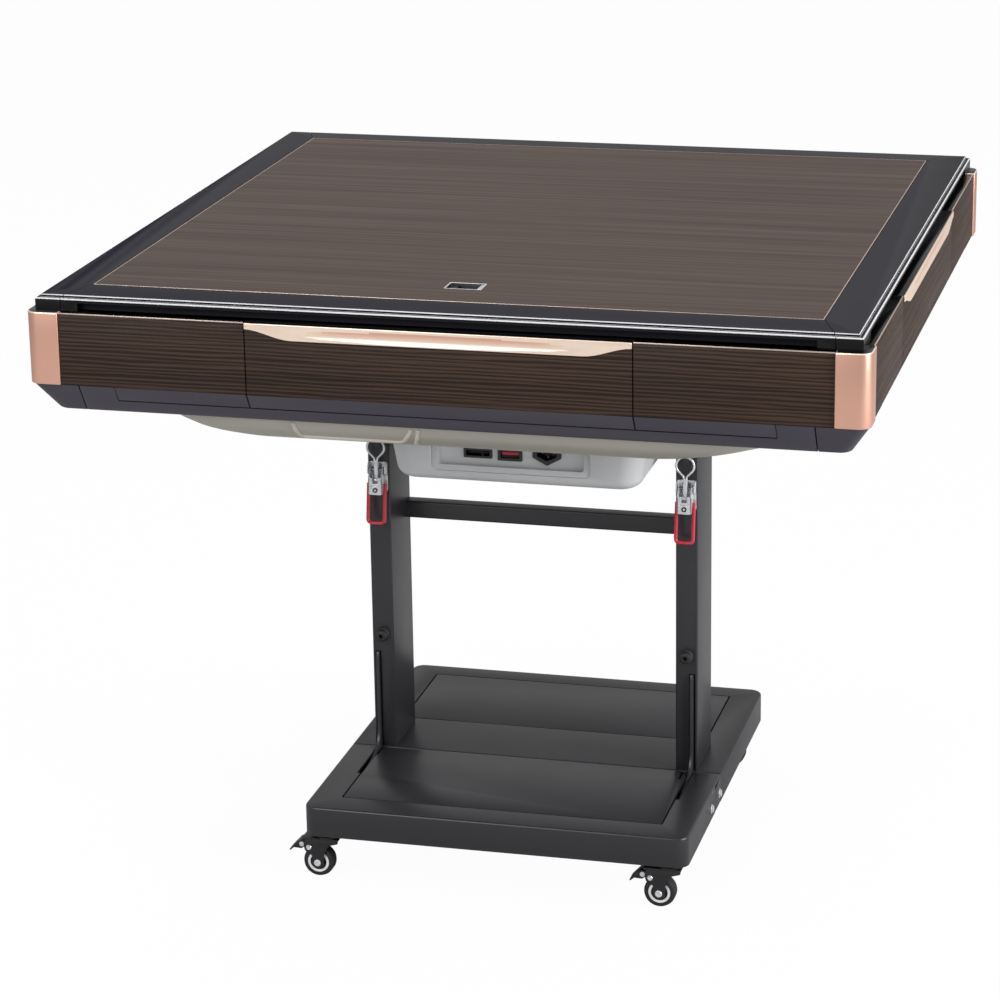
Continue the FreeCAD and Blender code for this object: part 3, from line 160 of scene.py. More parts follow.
def linear(code):
    """Linear colour of a six-figure hex code."""
    parts = [int(code[index:index + 2], 16) / 255 for index in (0, 2, 4)]
    return tuple(part / 12.92 if part <= 0.04045 else ((part + 0.055) / 1.055) ** 2.4 for part in parts)


def shade(colour, factor):
    return tuple(part * factor for part in colour)


def grained_wood(name, colour, fine, contrast, depth, relief, roughness, along="x", ribs=None):
    """Brown foil with grain that runs along X or Y, and with ribs where they have a pitch."""
    made = Finish(name)

    def run(long, across):
        return made.place((long, across, across) if along == "x" else (across, long, across))

    broad = made.noise(run(0.8, 26.0), 2.2, 2.0, 0.5)
    streak = made.noise(run(1.4, 150.0), fine, 4.0, 0.62)
    fibre = made.noise(run(9.0, 900.0), fine, 2.0, 0.5)
    if ribs:
        pitch_at_one = 0.314
        wavy = {"Scale": pitch_at_one / ribs, "Distortion": 5.0, "Detail": 2.0, "Detail Scale": 1.5}
        settings = {"wave_type": "BANDS", "bands_direction": "Z"}
        sockets = {"Vector": made.place((0.06, 0.06, 1)), **wavy}
        wave = made.node("ShaderNodeTexWave", settings, sockets, output=1)
        tone = broad * 0.12 + streak * 0.48 + fibre * 0.14 + wave * 0.26
    else:
        tone = broad * 0.3 + streak * 0.55 + fibre * 0.15
    tone = tone.rise(0.5 - contrast, 0.5 + contrast)
    lines = streak.rise(0.40, 0.62)
    made.clouded(tone, colour, 1 - depth, 1 + depth)
    made.set(Roughness=roughness - 0.08 * lines, Specular_IOR_Level=0.18)
    made.bump(lines * 0.7 + fibre * 0.3, relief, 0.0004)
    return made.material


def coated(name, colour, roughness, grain, relief, coat=0.0, specular=0.5):
    """Painted or moulded surface with a fine texture."""
    made = Finish(name, Coat_Weight=coat, Coat_Roughness=0.08, Specular_IOR_Level=specular)
    spot = made.place()
    fine, cloud = made.noise(spot, grain, 3.0, 0.6), made.noise(spot, 14.0, 2.0, 0.5)
    made.clouded(cloud, colour, 0.95, 1.05)
    made.set(Roughness=roughness + 0.08 * (cloud - 0.5) + 0.05 * (fine - 0.5))
    made.bump(fine, relief, 0.0002)
    return made.material


def metal(name, colour, roughness, brushed, brush_scale, metallic=1.0):
    """Metal whose brush marks run along the axis with the smallest stretch."""
    made = Finish(name, Metallic=metallic)
    marks = made.noise(made.place(brushed), brush_scale, 3.0, 0.6)
    made.clouded(made.noise(made.place(), 9.0, 2.0, 0.5), colour, 0.93, 1.05)
    made.set(Roughness=roughness + 0.10 * (marks - 0.5))
    made.bump(marks, 0.05, 0.0001)
    return made.material


def hollow_metal_with_painted_shade(name, rose, cream):
    """Painted shade in the pull's hollow: rose along its upper edge, paler below it and towards both of its ends."""
    made = Finish(name, Metallic=0.6, Roughness=0.32)
    spot = made.node("ShaderNodeTexCoord", output="Object")
    apart = made.node("ShaderNodeSeparateXYZ", None, {"Vector": spot}).socket.node
    across, along, up = (Wire(made, apart.outputs[axis]) for axis in "XYZ")
    run = across.sum("MINIMUM", across.sum("ABSOLUTE", across), along.sum("ABSOLUTE", along))
    # painted shade: the share of rose falls away from the hollow's upper edge and towards its ends
    share = up.rise(0.7505, 0.7600) * (1.0 - run.rise(0.105, 0.165))
    made.set(Base_Color=made.mix(share, cream, rose))
    return made.material


def cloth(name, colour):
    """Short felt with a soft, uneven nap."""
    made = Finish(name, Sheen_Weight=0.35, Sheen_Roughness=0.5, Roughness=0.95)
    spot = made.place()
    nap, cloud = made.noise(spot, 1500.0, 4.0, 0.7), made.noise(spot, 18.0, 3.0, 0.5)
    made.clouded(nap * 0.6 + cloud * 0.4, colour, 0.75, 1.2)
    made.bump(nap, 0.35, 0.0004)
    return made.material


def clear_plastic(name):
    made = Finish(name, Base_Color=(0.86, 0.9, 0.9), IOR=1.49, Transmission_Weight=1.0)
    made.set(Roughness=0.04 + 0.05 * made.noise(made.place(), 60.0, 2.0, 0.5))
    return made.material


def make_finishes(tint):
    """Every material of the table, by a short name."""
    ribbed = (tint["sides"], 2.7, 0.15, 0.56, 0.6, 0.52)
    made = {
        "cover wood": grained_wood("cover wood", tint["cover"], 0.9, 0.20, 0.32, 0.08, 0.44),
        "side wood": grained_wood("side wood along X", *ribbed, "x", 0.0046),
        "side wood y": grained_wood("side wood along Y", *ribbed, "y", 0.0046),
        "rose": metal("rose gold", tint["rose"], 0.34, (1, 1, 0.02), 900.0, 0.80),
        "rose hollow painted shade": hollow_metal_with_painted_shade("rose gold hollow", tint["rose"], tint["cream"]),
        "cream": metal("pale rose gold", tint["cream"], 0.30, (0.02, 0.02, 1), 900.0, 0.60),
        "edge": metal("thin edge metal", linear("cdb9ad"), 0.28, (0.05, 0.05, 1), 700.0, 0.6),
        "zinc": metal("bright zinc", tint["zinc"], 0.26, (1, 1, 0.1), 900.0, 0.55),
        "steel": metal("plain steel", linear("8d8f93"), 0.4, (0.1, 1, 1), 500.0),
        "felt": cloth("playing felt", tint["felt"]),
        "clear": clear_plastic("clear plastic"),
    }
    for key, name, colour, *look in (
        # roughness, grain, relief, coat, specular
        ("frame", "frame black", tint["frame"], 0.42, 900.0, 0.04, 0.0, 0.10),
        ("gloss", "gloss black", tint["gloss"], 0.20, 500.0, 0.02, 0.0, 0.3),
        # painted highlight: light grey for the thin chamfers along the frame's outer edge
        ("glint", "bright edge", tint["glint"], 0.25, 500.0, 0.02, 0.3),
        ("slate", "slate plastic", tint["slate"], 0.46, 1600.0, 0.12, 0.0, 0.3),
        ("grey", "light grey plastic", tint["grey"], 0.36, 1500.0, 0.05, 0.05, 0.35),
        # painted shade: the dish's grey is a darker copy of the tub's grey plastic
        ("dish", "warm grey plastic", tint["dish"], 0.40, 1500.0, 0.05, 0.05, 0.3),
        # painted highlight: the loop's beads are the dish's grey made lighter
        ("bead", "warm grey bead", shade(tint["dish"], 1.35), 0.40, 1500.0, 0.05, 0.05, 0.3),
        ("red", "red dipped", tint["red"], 0.30, 400.0, 0.10, 0.35),
        ("powder", "black powder coat", tint["powder"], 0.34, 2600.0, 0.16, 0.0, 0.5),
        # painted shade: near black for the floors of the base's grooves
        ("gap", "dark gap", linear("060607"), 0.8, 900.0, 0.05, 0.0, 0.05),
        ("rubber", "black rubber", linear("17171a"), 0.62, 900.0, 0.25),
        ("black plastic", "black plastic", linear("141417"), 0.36, 1200.0, 0.12, 0.1),
        ("white plastic", "white plastic", linear("e9eaec"), 0.40, 900.0, 0.08, 0.1),
        ("board", "circuit board green", linear("1d5a34"), 0.45, 700.0, 0.2, 0.1),
    ):
        made[key] = coated(name, colour, *look)
    return made


# modelling steps


def mode(name):
    bpy.ops.object.mode_set(mode=name)


def clear_selection():
    if bpy.context.object and bpy.context.object.mode != "OBJECT":
        mode("OBJECT")
    bpy.ops.object.select_all(action="DESELECT")


def focus(thing):
    clear_selection()
    thing.select_set(True)
    bpy.context.view_layer.objects.active = thing
    return thing


def take_all():
    bpy.ops.mesh.select_all(action="SELECT")


def push(step):
    """Extrude what is selected."""
    bpy.ops.mesh.extrude_region_move(TRANSFORM_OT_translate={"value": step})


def clip_corners(width, segments):
    """Round the selected vertices of a flat shape."""
    bpy.ops.mesh.bevel(offset=width, segments=segments, affect="VERTICES")
    take_all()


def narrow(share_x, share_y, z):
    """Draw what is selected in towards the upright axis."""
    bpy.ops.transform.resize(value=(share_x, share_y, 1), center_override=(0, 0, z))


def discard(*things):
    for thing in things:
        bpy.data.objects.remove(thing)


def settle(thing, name):
    """Name an object and put its place, turn and size into its mesh."""
    focus(thing)
    bpy.ops.object.transform_apply(location=True, rotation=True, scale=True)
    thing.name = thing.data.name = name
    return thing


def about(middle, reach):
    """Span of a reach to both sides of a middle."""
    return (middle - reach, middle + reach)


def past(low, high):
    """Span that a cutting block needs to pass through another span."""
    return (low - BEYOND, high + BEYOND)


def spans(node):
    """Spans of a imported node's box along x, y and z."""
    return tuple(zip(*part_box(node)))


def spot(axis, along, pair):
    """Point from its place along one axis and its places on the other two, in x, y, z order."""
    places = list(pair)
    places.insert(AXES[axis], along)
    return Vector(places)


def block(name, x, y, z):
    clear_selection()
    middle = [(low + high) / 2 for low, high in (x, y, z)]
    size = [abs(high - low) for low, high in (x, y, z)]
    bpy.ops.mesh.primitive_cube_add(size=1, location=middle, scale=size)
    return settle(bpy.context.object, name)


def sheet(size, place):
    clear_selection()
    bpy.ops.mesh.primitive_plane_add(size=size, location=place)
    return bpy.context.object


def round_bar(name, axis, centre, ends, radius, sides=32):
    clear_selection()
    turn = {"x": (0, QUARTER, 0), "y": (QUARTER, 0, 0), "z": (0, 0, 0)}[axis]
    middle = spot(axis, (ends[0] + ends[1]) / 2, centre)
    depth = abs(ends[1] - ends[0])
    shape = {"vertices": sides, "radius": radius, "depth": depth}
    bpy.ops.mesh.primitive_cylinder_add(location=middle, rotation=turn, **shape)
    return settle(bpy.context.object, name)


def line(name, points, loop):
    """Line drawn by extruding one vertex from point to point, left open in edit mode."""
    thing = sheet(0.001, points[0])
    thing.name = name
    mode("EDIT")
    bpy.ops.mesh.select_mode(type="VERT")
    bpy.ops.mesh.merge(type="CENTER")
    for start, end in zip(points, points[1:]):
        push(Vector(end) - Vector(start))
    if loop:
        take_all()
        bpy.ops.mesh.edge_face_add()
    return thing


def extruded(name, axis, outline, ends):
    """Outline drawn across one axis at the first end and extruded to the second."""
    thing = line(name, [spot(axis, ends[0], pair) for pair in outline], True)
    push(spot(axis, ends[1] - ends[0], (0, 0)))
    return outward(thing, name)


def outward(thing, name):
    """Merge doubles and turn every face outwards, then settle."""
    focus(thing)
    mode("EDIT")
    take_all()
    bpy.ops.mesh.remove_doubles(threshold=0.000005)
    bpy.ops.mesh.normals_make_consistent(inside=False)
    mode("OBJECT")
    return settle(thing, name)


def spun(name, axis, outline, centre, steps):
    """Outline of radius and place along the axis, spun round it."""
    away = AXES["y" if axis == "x" else "x"]
    points = [spot(axis, along, centre) for _, along in outline]
    for point, (radius, _) in zip(points, outline):
        point[away] += radius
    thing = line(name, points, False)
    take_all()
    turn = spot(axis, 1, (0, 0))
    bpy.ops.mesh.spin(steps=steps, angle=math.tau, center=spot(axis, 0, centre), axis=turn)
    return outward(thing, name)


def wire(name, points, radius, sides):
    """Round wire along a drawn line."""
    focus(line(name, points, False))
    bpy.ops.object.convert(target="CURVE")
    curve = bpy.context.object.data
    curve.bevel_depth = radius
    curve.bevel_resolution = sides
    curve.use_fill_caps = True
    bpy.ops.object.convert(target="MESH")
    return outward(bpy.context.object, name)


def arc_points(centre, radius, start, end, count):
    """Points on an arc in a plane, angles in degrees."""
    turns = [math.radians(start + (end - start) * step / count) for step in range(count + 1)]
    return [(centre[0] + radius * math.cos(turn), centre[1] + radius * math.sin(turn)) for turn in turns]


def eased(points, radius, count, loop=True):
    """Drawn line with each corner turned into an arc as large as radius or the corner's runs allow."""
    points = [Vector(point) for point in points]
    made = []
    for index, corner in enumerate(points):
        if not loop and index in (0, len(points) - 1):
            made.append(tuple(corner))
            continue
        before, after = points[index - 1] - corner, points[(index + 1) % len(points)] - corner
        angle = before.angle(after)
        reach = min(radius / math.tan(angle / 2), before.length * 0.49, after.length * 0.49)
        first, last = corner + before.normalized() * reach, corner + after.normalized() * reach
        for step in range(count + 1):
            share = step / count
            low, high = first.lerp(corner, share), corner.lerp(last, share)
            made.append(tuple(low.lerp(high, share)))
    return made


def eased_pairs(pairs, radius, count, loop=True):
    """The same for a line drawn in a plane."""
    return [point[:2] for point in eased([(*pair, 0) for pair in pairs], radius, count, loop)]


def rounded_rectangle(x, z, radius, count=5):
    corners = [(x[0], z[0]), (x[1], z[0]), (x[1], z[1]), (x[0], z[1])]
    return eased_pairs(corners, radius, count)


def pick(thing, kind, test):
    """Enter edit mode with the faces or edges that pass a test selected."""
    focus(thing)
    mode("EDIT")
    bpy.ops.mesh.select_mode(type=kind)
    bpy.ops.mesh.select_all(action="DESELECT")
    mesh = bmesh.from_edit_mesh(thing.data)
    for part in mesh.edges if kind == "EDGE" else mesh.faces:
        part.select_set(bool(test(part)))
    mesh.select_flush_mode()
    bmesh.update_edit_mesh(thing.data)


def faces(normal=None, test=None, near=0.95):
    """Test for faces that look along a direction and whose middle passes a further test."""

    def passes(face):
        looks = normal is None or face.normal.dot(Vector(normal).normalized()) > near
        return looks and (test is None or test(face.calc_center_median()))

    return passes


def along_edges(axis, test=lambda place: True):
    """Test for edges that run along one axis and whose middle passes a further test."""

    def passes(edge):
        first, second = (vertex.co for vertex in edge.verts)
        run = second - first
        straight = run.length > 0 and abs(run[AXES[axis]]) / run.length > 0.95
        return straight and test((first + second) / 2)

    return passes


def where(test):
    """Test for faces by their direction and their middle."""
    return lambda face: test(face.normal, face.calc_center_median())


def foot_edges(floor):
    """Test for the edges round the foot of a piece."""
    return lambda edge: all(vertex.co.z < floor + 0.0005 for vertex in edge.verts)


def round_edges(thing, test, width, segments):
    """Bevel the chosen edges."""
    pick(thing, "EDGE", test)
    bpy.ops.mesh.bevel(offset=width, segments=segments, affect="EDGES", clamp_overlap=True)
    mode("OBJECT")
    return thing


def soften(thing, width, segments=2, angle=40):
    """Bevel every edge sharper than an angle."""
    focus(thing)
    bpy.ops.object.modifier_add(type="BEVEL")
    bevel = thing.modifiers[-1]
    bevel.width, bevel.segments = width, segments
    bevel.limit_method, bevel.angle_limit = "ANGLE", math.radians(angle)
    bpy.ops.object.modifier_apply(modifier=bevel.name)
    return thing


def carve(thing, *tools):
    """Cut other shapes out of a piece. The tools are used up."""
    for tool in tools:
        focus(thing)
        bpy.ops.object.modifier_add(type="BOOLEAN")
        boolean = thing.modifiers[-1]
        boolean.operation, boolean.object, boolean.solver = "DIFFERENCE", tool, "EXACT"
        bpy.ops.object.modifier_apply(modifier=boolean.name)
        discard(tool)
    return thing


def sunk(thing, wall, depth):
    """Sink the top of a block inside a wall."""
    pick(thing, "FACE", faces(UP))
    bpy.ops.mesh.inset(thickness=wall, depth=0)
    push((0, 0, -depth))
    mode("OBJECT")
    return thing


def sliced(thing, point, normal):
    """Cut a piece with a plane, drop what lies beyond it and close the cut."""
    focus(thing)
    mode("EDIT")
    take_all()
    bpy.ops.mesh.bisect(plane_co=point, plane_no=normal, use_fill=True, clear_outer=True)
    mode("OBJECT")
    return thing


def copied(thing, name, quarters=0, shift=(0, 0, 0), flip=False):
    """Copy with a mesh of its own, turned about the upright axis, mirrored across x or shifted."""
    focus(thing)
    bpy.ops.object.duplicate(linked=False)
    made = bpy.context.object
    made.rotation_euler.z = quarters * QUARTER
    if flip:
        made.scale.x = -1
    made.location = shift
    settle(made, name)
    return outward(made, name) if flip else made


def carve_round(thing, tool):
    """Cut the same shape out of all four sides."""
    for quarter in range(4):
        carve(thing, copied(tool, "turned", quarter))
    discard(tool)


def joined(name, *parts):
    clear_selection()
    for part in parts:
        part.select_set(True)
    bpy.context.view_layer.objects.active = parts[0]
    bpy.ops.object.join()
    return settle(parts[0], name)


def paint(thing, finish, test=None):
    """Give the whole piece a finish, or only the faces that pass a test."""
    if test is None:
        thing.data.materials.clear()
    thing.data.materials.append(FINISHES[finish])
    if test is not None:
        pick(thing, "FACE", test)
        thing.active_material_index = len(thing.data.materials) - 1
        bpy.ops.object.material_slot_assign()
        mode("OBJECT")
    return thing


def dressed(thing, finish, width, angle=40):
    """Soften a part and give it a finish."""
    return paint(soften(thing, width, 2, angle), finish)


def screw_head(centre, ends, radius):
    """Round head with a crossed slot sunk in its front."""
    head = round_bar("screw", "y", centre, ends, radius, 24)
    long, short = radius * 0.62, radius * 0.16
    deep = about(min(ends), radius * 0.35)
    for x, z in ((long, short), (short, long)):
        carve(head, block("slot", about(centre[0], x), deep, about(centre[1], z)))
    return soften(head, radius * 0.12)


def place_piece(thing, body, slot, *nodes, smooth=35):
    """Shade a finished piece, set it on its body and hide the imported nodes that it stands for."""
    focus(thing)
    bpy.ops.object.shade_smooth_by_angle(angle=math.radians(smooth))
    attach(thing, body)
    if nodes:
        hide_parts(*nodes)
    return thing


# sizes and colours that a user would change


def size(label, description, default):
    limits = {"min": 0.0, "unit": "LENGTH", "precision": 5}
    return FloatProperty(name=label, description=description, default=default, **limits)


def colour(label, description, code):
    limits = {"subtype": "COLOR", "size": 3, "min": 0, "max": 1}
    return FloatVectorProperty(name=label, description=description, default=linear(code), **limits)


class TableSizes(bpy.types.PropertyGroup):
    edge: size("Edge softness", "Rounding of plain moulded and painted edges", 0.0008)
    rail_width: size("Rail width", "Black frame between the cover and the outer edge", 0.050)
    bead_width: size("Bead width", "Step along the outer edge of the frame", 0.005)
    bead_drop: size("Bead drop", "Depth of that step", 0.0032)
    rail_fall: size("Rail fall", "Drop of the frame's top towards its outer edge", 0.002)
    corner_reach: size("Corner block", "Length of the frame's corner blocks along the front", 0.030)
    recess_height: size("Finger recess height", "Height of the recess under the frame", 0.010)
    recess_depth: size("Finger recess depth", "Depth of the recess under the frame", 0.012)
    cover_edge: size("Cover edge", "Width of the metal line round the cover", 0.0013)
    strip: size("Top strip", "Height of the metal strip along the top of the sides", 0.0014)
    trim_rounding: size("Trim rounding", "Radius of the corner trims", 0.014)
    seam: size("Seam", "Width of the dark lines between parts", 0.0013)
    skirt_inset: size("Skirt inset", "How far the skirt slopes in", 0.023)
    skirt_seam: size("Skirt seam place", "Distance of the skirt's seams from the middle", 0.420)
    pull_end: size("Pull end height", "Height of the drawer pull at its ends", 0.007)
    pull_run: size("Pull taper", "Length over which the pull grows to its full height", 0.054)
    tub_rounding: size("Tub rounding", "Radius of the tub's upright corners", 0.030)
    tub_foot: size("Tub foot rounding", "Radius of the tub's lower edge", 0.013)
    column_edge: size("Column edge", "Rounding of the columns' long edges", 0.0022)
    base_corner: size("Base corner", "Radius of the base's corners", 0.016)
    base_edge: size("Base edge", "Rounding of the base's upper edge", 0.0028)
    groove: size("Base groove", "Width of the grooves in the base", 0.0022)
    wire: size("Grip wire", "Thickness of the latch's wire grip", 0.0046)
    floor_reach: size("Floor reach", "Half width of the pale floor", 9.0)


class TableColours(bpy.types.PropertyGroup):
    cover: colour("Cover", "Brown foil of the cover board", "43342d")
    sides: colour("Sides", "Ribbed brown foil of the sides", "34261e")
    frame: colour("Frame", "Satin black of the top frame", "1e1e26")
    # Gloss black also stands as painted shade on the tops of the trims and wooden boards.
    gloss: colour("Frame face", "Gloss black of the frame's upright faces", "0c0c0e")
    # painted highlight: light grey lines along the frame's edges
    glint: colour("Bright edge", "Painted highlight lines along the frame's edges", "c9cacd")
    slate: colour("Slate plastic", "Skirt and lips", "3f3c45")
    grey: colour("Light grey plastic", "Tub and control panel", "c3c5c7")
    # painted shade: kept darker than the tub's grey, which is the same plastic
    dish: colour("Warm grey plastic", "Dish under the machine", "a19d94")
    rose: colour("Rose gold", "Corner trims and the hollow of the pulls", "e2b09b")
    # On the trim tops this pale metal is a painted highlight.
    cream: colour("Pale rose gold", "Drawer pulls and trim tops", "fbe3d0")
    powder: colour("Powder coat", "Columns and base", "26262a")
    zinc: colour("Zinc", "Latches", "dcdee2")
    red: colour("Red", "Dipped grips and the power switch", "bf1e36")
    felt: colour("Felt", "Playing surface", "2f6a5a")


# pieces


class TABLE_OT_finishes(bpy.types.Operator):
    """Make every material of the table."""

    bl_idname = "table.finishes"
    bl_label = "Finishes"

    def execute(self, context):
        tint = context.scene.table_colours
        FINISHES.update(make_finishes({name: tuple(getattr(tint, name)) for name in tint.__annotations__}))
        return {"FINISHED"}


class TABLE_OT_frame(bpy.types.Operator):
    """Black top frame: sloping rails with a stepped edge, corner blocks and finger recesses."""

    bl_idname = "table.frame"
    bl_label = "Top frame"

    def execute(self, context):
        s = context.scene.table_sizes
        low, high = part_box("frame_rails")
        half, floor, top = high.x, low.z, high.z
        cover_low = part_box("cover_board")[0].z
        inner = half - s.rail_width
        ledge = inner - 0.014
        edge_top = top - s.rail_fall
        step, step_top = -half + s.bead_width, edge_top - s.bead_drop
        outline = [
            (-inner, top), (step + 0.0008, edge_top), (step, edge_top - 0.0008), (step, step_top),
            (-half + 0.0012, step_top), (-half, step_top - 0.0012), (-half, floor),
            (-ledge, floor), (-ledge, cover_low), (-inner, cover_low),
        ]
        bar = extruded("rail_bar", "x", outline, about(0, half))
        depth, height = (-half - BEYOND, -half + s.recess_depth), (floor - BEYOND, floor + s.recess_height)
        carve(bar, block("recess", about(0, inner), depth, height))
        for side in SIGNS:
            sliced(bar, (side * half, -half, 0), (side, 1, 0))
        normal = Vector((s.rail_width, s.rail_width - s.corner_reach, 0)).normalized()
        seam, gap = Vector((half - s.corner_reach, -half, 0)), normal * s.seam / 4
        middle, ends = copied(bar, "frame_rail_front"), []
        for side in SIGNS:
            turned = Vector((side, 1, 1))
            sliced(middle, (seam - gap) * turned, normal * turned)
            ends.append(sliced(copied(bar, "end"), (seam + gap) * turned, -normal * turned))
        parts = copied(bar, "side", 1), copied(ends[1], "near"), copied(ends[0], "far", 2)
        right = outward(joined("frame_rail_right", *parts), "frame_rail_right")
        discard(bar, *ends)
        for rail in (middle, right):
            self.paint_rail(rail, half - s.bead_width - 0.002, floor)
        for rail in (middle, right, copied(middle, "frame_rail_back", 2), copied(right, "frame_rail_left", 2)):
            place_piece(rail, "machine", "black_satin", "frame_rails", smooth=25)
        return {"FINISHED"}

    def paint_rail(self, rail, outer, floor):
        """Satin top, gloss upright face, and the edge chamfers in light grey as painted highlight lines."""
        paint(soften(rail, 0.0002, 1), "frame")

        def upright(normal, place):
            return abs(normal.z) < 0.3 and max(abs(place.x), abs(place.y)) > outer

        # painted highlight: the sloped chamfer faces along the outer edge get the light grey
        def takes_painted_highlight(normal, place):
            far = max(abs(place.x), abs(place.y)) > outer - 0.0004
            return 0.3 <= normal.z < 0.995 and far and place.z > floor + 0.012

        paint(rail, "gloss", where(upright))
        paint(rail, "glint", where(takes_painted_highlight))
        paint(rail, "black plastic", faces((0, 0, -1), lambda place: place.z > floor + 0.004))


class TABLE_OT_cover(bpy.types.Operator):
    """Loose wooden cover with a metal edge line, and the flush cup to lift it by."""

    bl_idname = "table.cover"
    bl_label = "Cover"

    def execute(self, context):
        s = context.scene.table_sizes
        low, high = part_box("cover_board")
        cup_x, cup_y, cup_z = spans("cover_pull")
        reach = about(0, high.x - s.cover_edge)
        board = block("cover_wood", reach, reach, (low.z, high.z))
        carve(board, block("hole", cup_x, cup_y, (cup_z[0], high.z + BEYOND)))
        soften(board, 0.0002, 1)
        place_piece(paint(board, "cover wood"), "cover", "dark_wood", "cover_board")
        ring = sheet(high.x * 2, (0, 0, low.z))
        mode("EDIT")
        bpy.ops.mesh.inset(thickness=s.cover_edge, depth=0)
        bpy.ops.mesh.delete(type="FACE")
        take_all()
        push((0, 0, high.z - low.z))
        outward(ring, "cover_edge_line")
        place_piece(dressed(ring, "edge", 0.0003), "cover", "dark_wood")
        self.make_cup(cup_x, cup_y, cup_z)
        return {"FINISHED"}

    def make_cup(self, x, y, z):
        wall, top = 0.0022, z[1]
        cup = sunk(block("cover_cup", x, y, z), wall, top - z[0] - 0.0015)
        paint(soften(cup, 0.0005, 3), "black plastic")

        def rim(normal, place):
            return normal.z > 0.3 and place.z > top - 0.001

        def floor(place):
            sides = zip(place, (x, y))
            inner = all(low + wall * 1.2 < part < high - wall * 1.2 for part, (low, high) in sides)
            return inner and place.z < z[0] + 0.003

        paint(cup, "zinc", where(rim))
        paint(cup, "cover wood", faces(test=floor))
        (left, right), across = (x[0] + wall, x[1] - wall), (y[0] + wall, y[1] - wall)
        tab = block("tab", (left, left + 0.010), across, (top - 0.0042, top - 0.0030))
        grip = block("grip", (right - 0.004, right), across, (top - 0.0030, top - 0.0008))
        parts = dressed(tab, "black plastic", 0.0004), dressed(grip, "zinc", 0.0004)
        place_piece(joined("cover_cup", cup, *parts), "cover", "zinc", "cover_pull")


class TABLE_OT_corners(bpy.types.Operator):
    """Four rounded corner trims, with the pale metal along the rounded edge of their top as a painted highlight and
    gloss black on the flat top as painted shade.
    """

    bl_idname = "table.corners"
    bl_label = "Corner trims"

    def execute(self, context):
        s = context.scene.table_sizes
        low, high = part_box("corner_trims")
        half, wall = high.x, 0.003
        end, inner = half - TRIM_LEG, half - wall
        trim = block("corner_trim", (end, half), (-half, -end), (low.z, high.z))
        ends = end - BEYOND, low.z - BEYOND
        pocket = block("pocket", (ends[0], inner), (-inner, -ends[0]), (ends[1], high.z - wall))
        rounding = s.trim_rounding
        for thing, reach, radius, segments in ((trim, half, rounding, 14), (pocket, inner, rounding - wall, 8)):
            corner = along_edges("z", lambda place: place.x > reach - 0.0005 and place.y < -reach + 0.0005)
            round_edges(thing, corner, radius, segments)
        carve(trim, pocket)
        soften(trim, s.edge * 1.6, 3, 50)
        paint(trim, "rose")
        # painted highlight: the rounded top edge of the rose trim in the paler metal
        paint(trim, "cream", where(lambda normal, place: 0.25 < normal.z < 0.995))
        # painted shade: the flat top of the metal trim in gloss black
        paint(trim, "gloss", faces(UP, near=0.995))
        for quarter in range(4):
            copy = copied(trim, f"corner_trim_{quarter}", quarter)
            place_piece(copy, "machine", "rose_gold", "corner_trims")
        discard(trim)
        return {"FINISHED"}


def faced_board(s, ends, lip_ends, face, floor, top):
    """Wooden board of a side or a drawer, and the plastic lip that slopes in below it."""
    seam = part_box("corner_trims")[0].z
    skirt_floor, skirt_top = spans("skirt")[2]
    slope = s.skirt_inset / (skirt_top - skirt_floor)
    back = -face + BOARD
    board = dressed(block("wood", ends, (-face, back), (seam + 0.0002, top)), "side wood", s.edge / 2)
    # painted shade: the wooden board's top face in gloss black
    paint(board, "gloss", faces(UP))
    outline = [(-face + 0.0002, seam), (-face + (seam - floor) * slope, floor), (back, floor), (back, seam)]
    return board, dressed(extruded("lip", "x", outline, lip_ends), "slate", s.edge)


def turn_grain(thing, quarter):
    """Wood on a side that faces along X has its grain along Y."""
    if quarter % 2:
        for index, material in enumerate(thing.data.materials):
            if material is FINISHES["side wood"]:
                thing.data.materials[index] = FINISHES["side wood y"]
    return thing


class TABLE_OT_sides(bpy.types.Operator):
    """Fixed side panels: ribbed wood, a metal strip above it and a plastic lip below."""

    bl_idname = "table.sides"
    bl_label = "Side panels"

    def execute(self, context):
        s = context.scene.table_sizes
        low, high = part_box("side_panels")
        face, wood_top = high.x, high.z - s.strip
        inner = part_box("drawer_front")[1].x + s.seam
        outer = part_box("corner_trims")[1].x - TRIM_LEG - 0.0003
        lip_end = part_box("skirt")[1].x - NOTCH_END - 0.0005
        panels = {}
        for hand, sign in HANDS:
            ends = sorted((sign * inner, sign * outer))
            wood, lip = faced_board(s, ends, (sign * inner, sign * lip_end), face, low.z, wood_top)
            strip = block("strip", ends, (-face, -face + s.strip), (wood_top, high.z))
            panels[hand] = joined(f"side_{hand}", wood, dressed(strip, "edge", s.strip / 4), lip)
        for side, quarter in SIDES:
            for hand, panel in panels.items():
                copy = turn_grain(copied(panel, f"side_panel_{side}_{hand}", quarter), quarter)
                place_piece(copy, "machine", "dark_wood", "side_panels")
        discard(*panels.values())
        return {"FINISHED"}


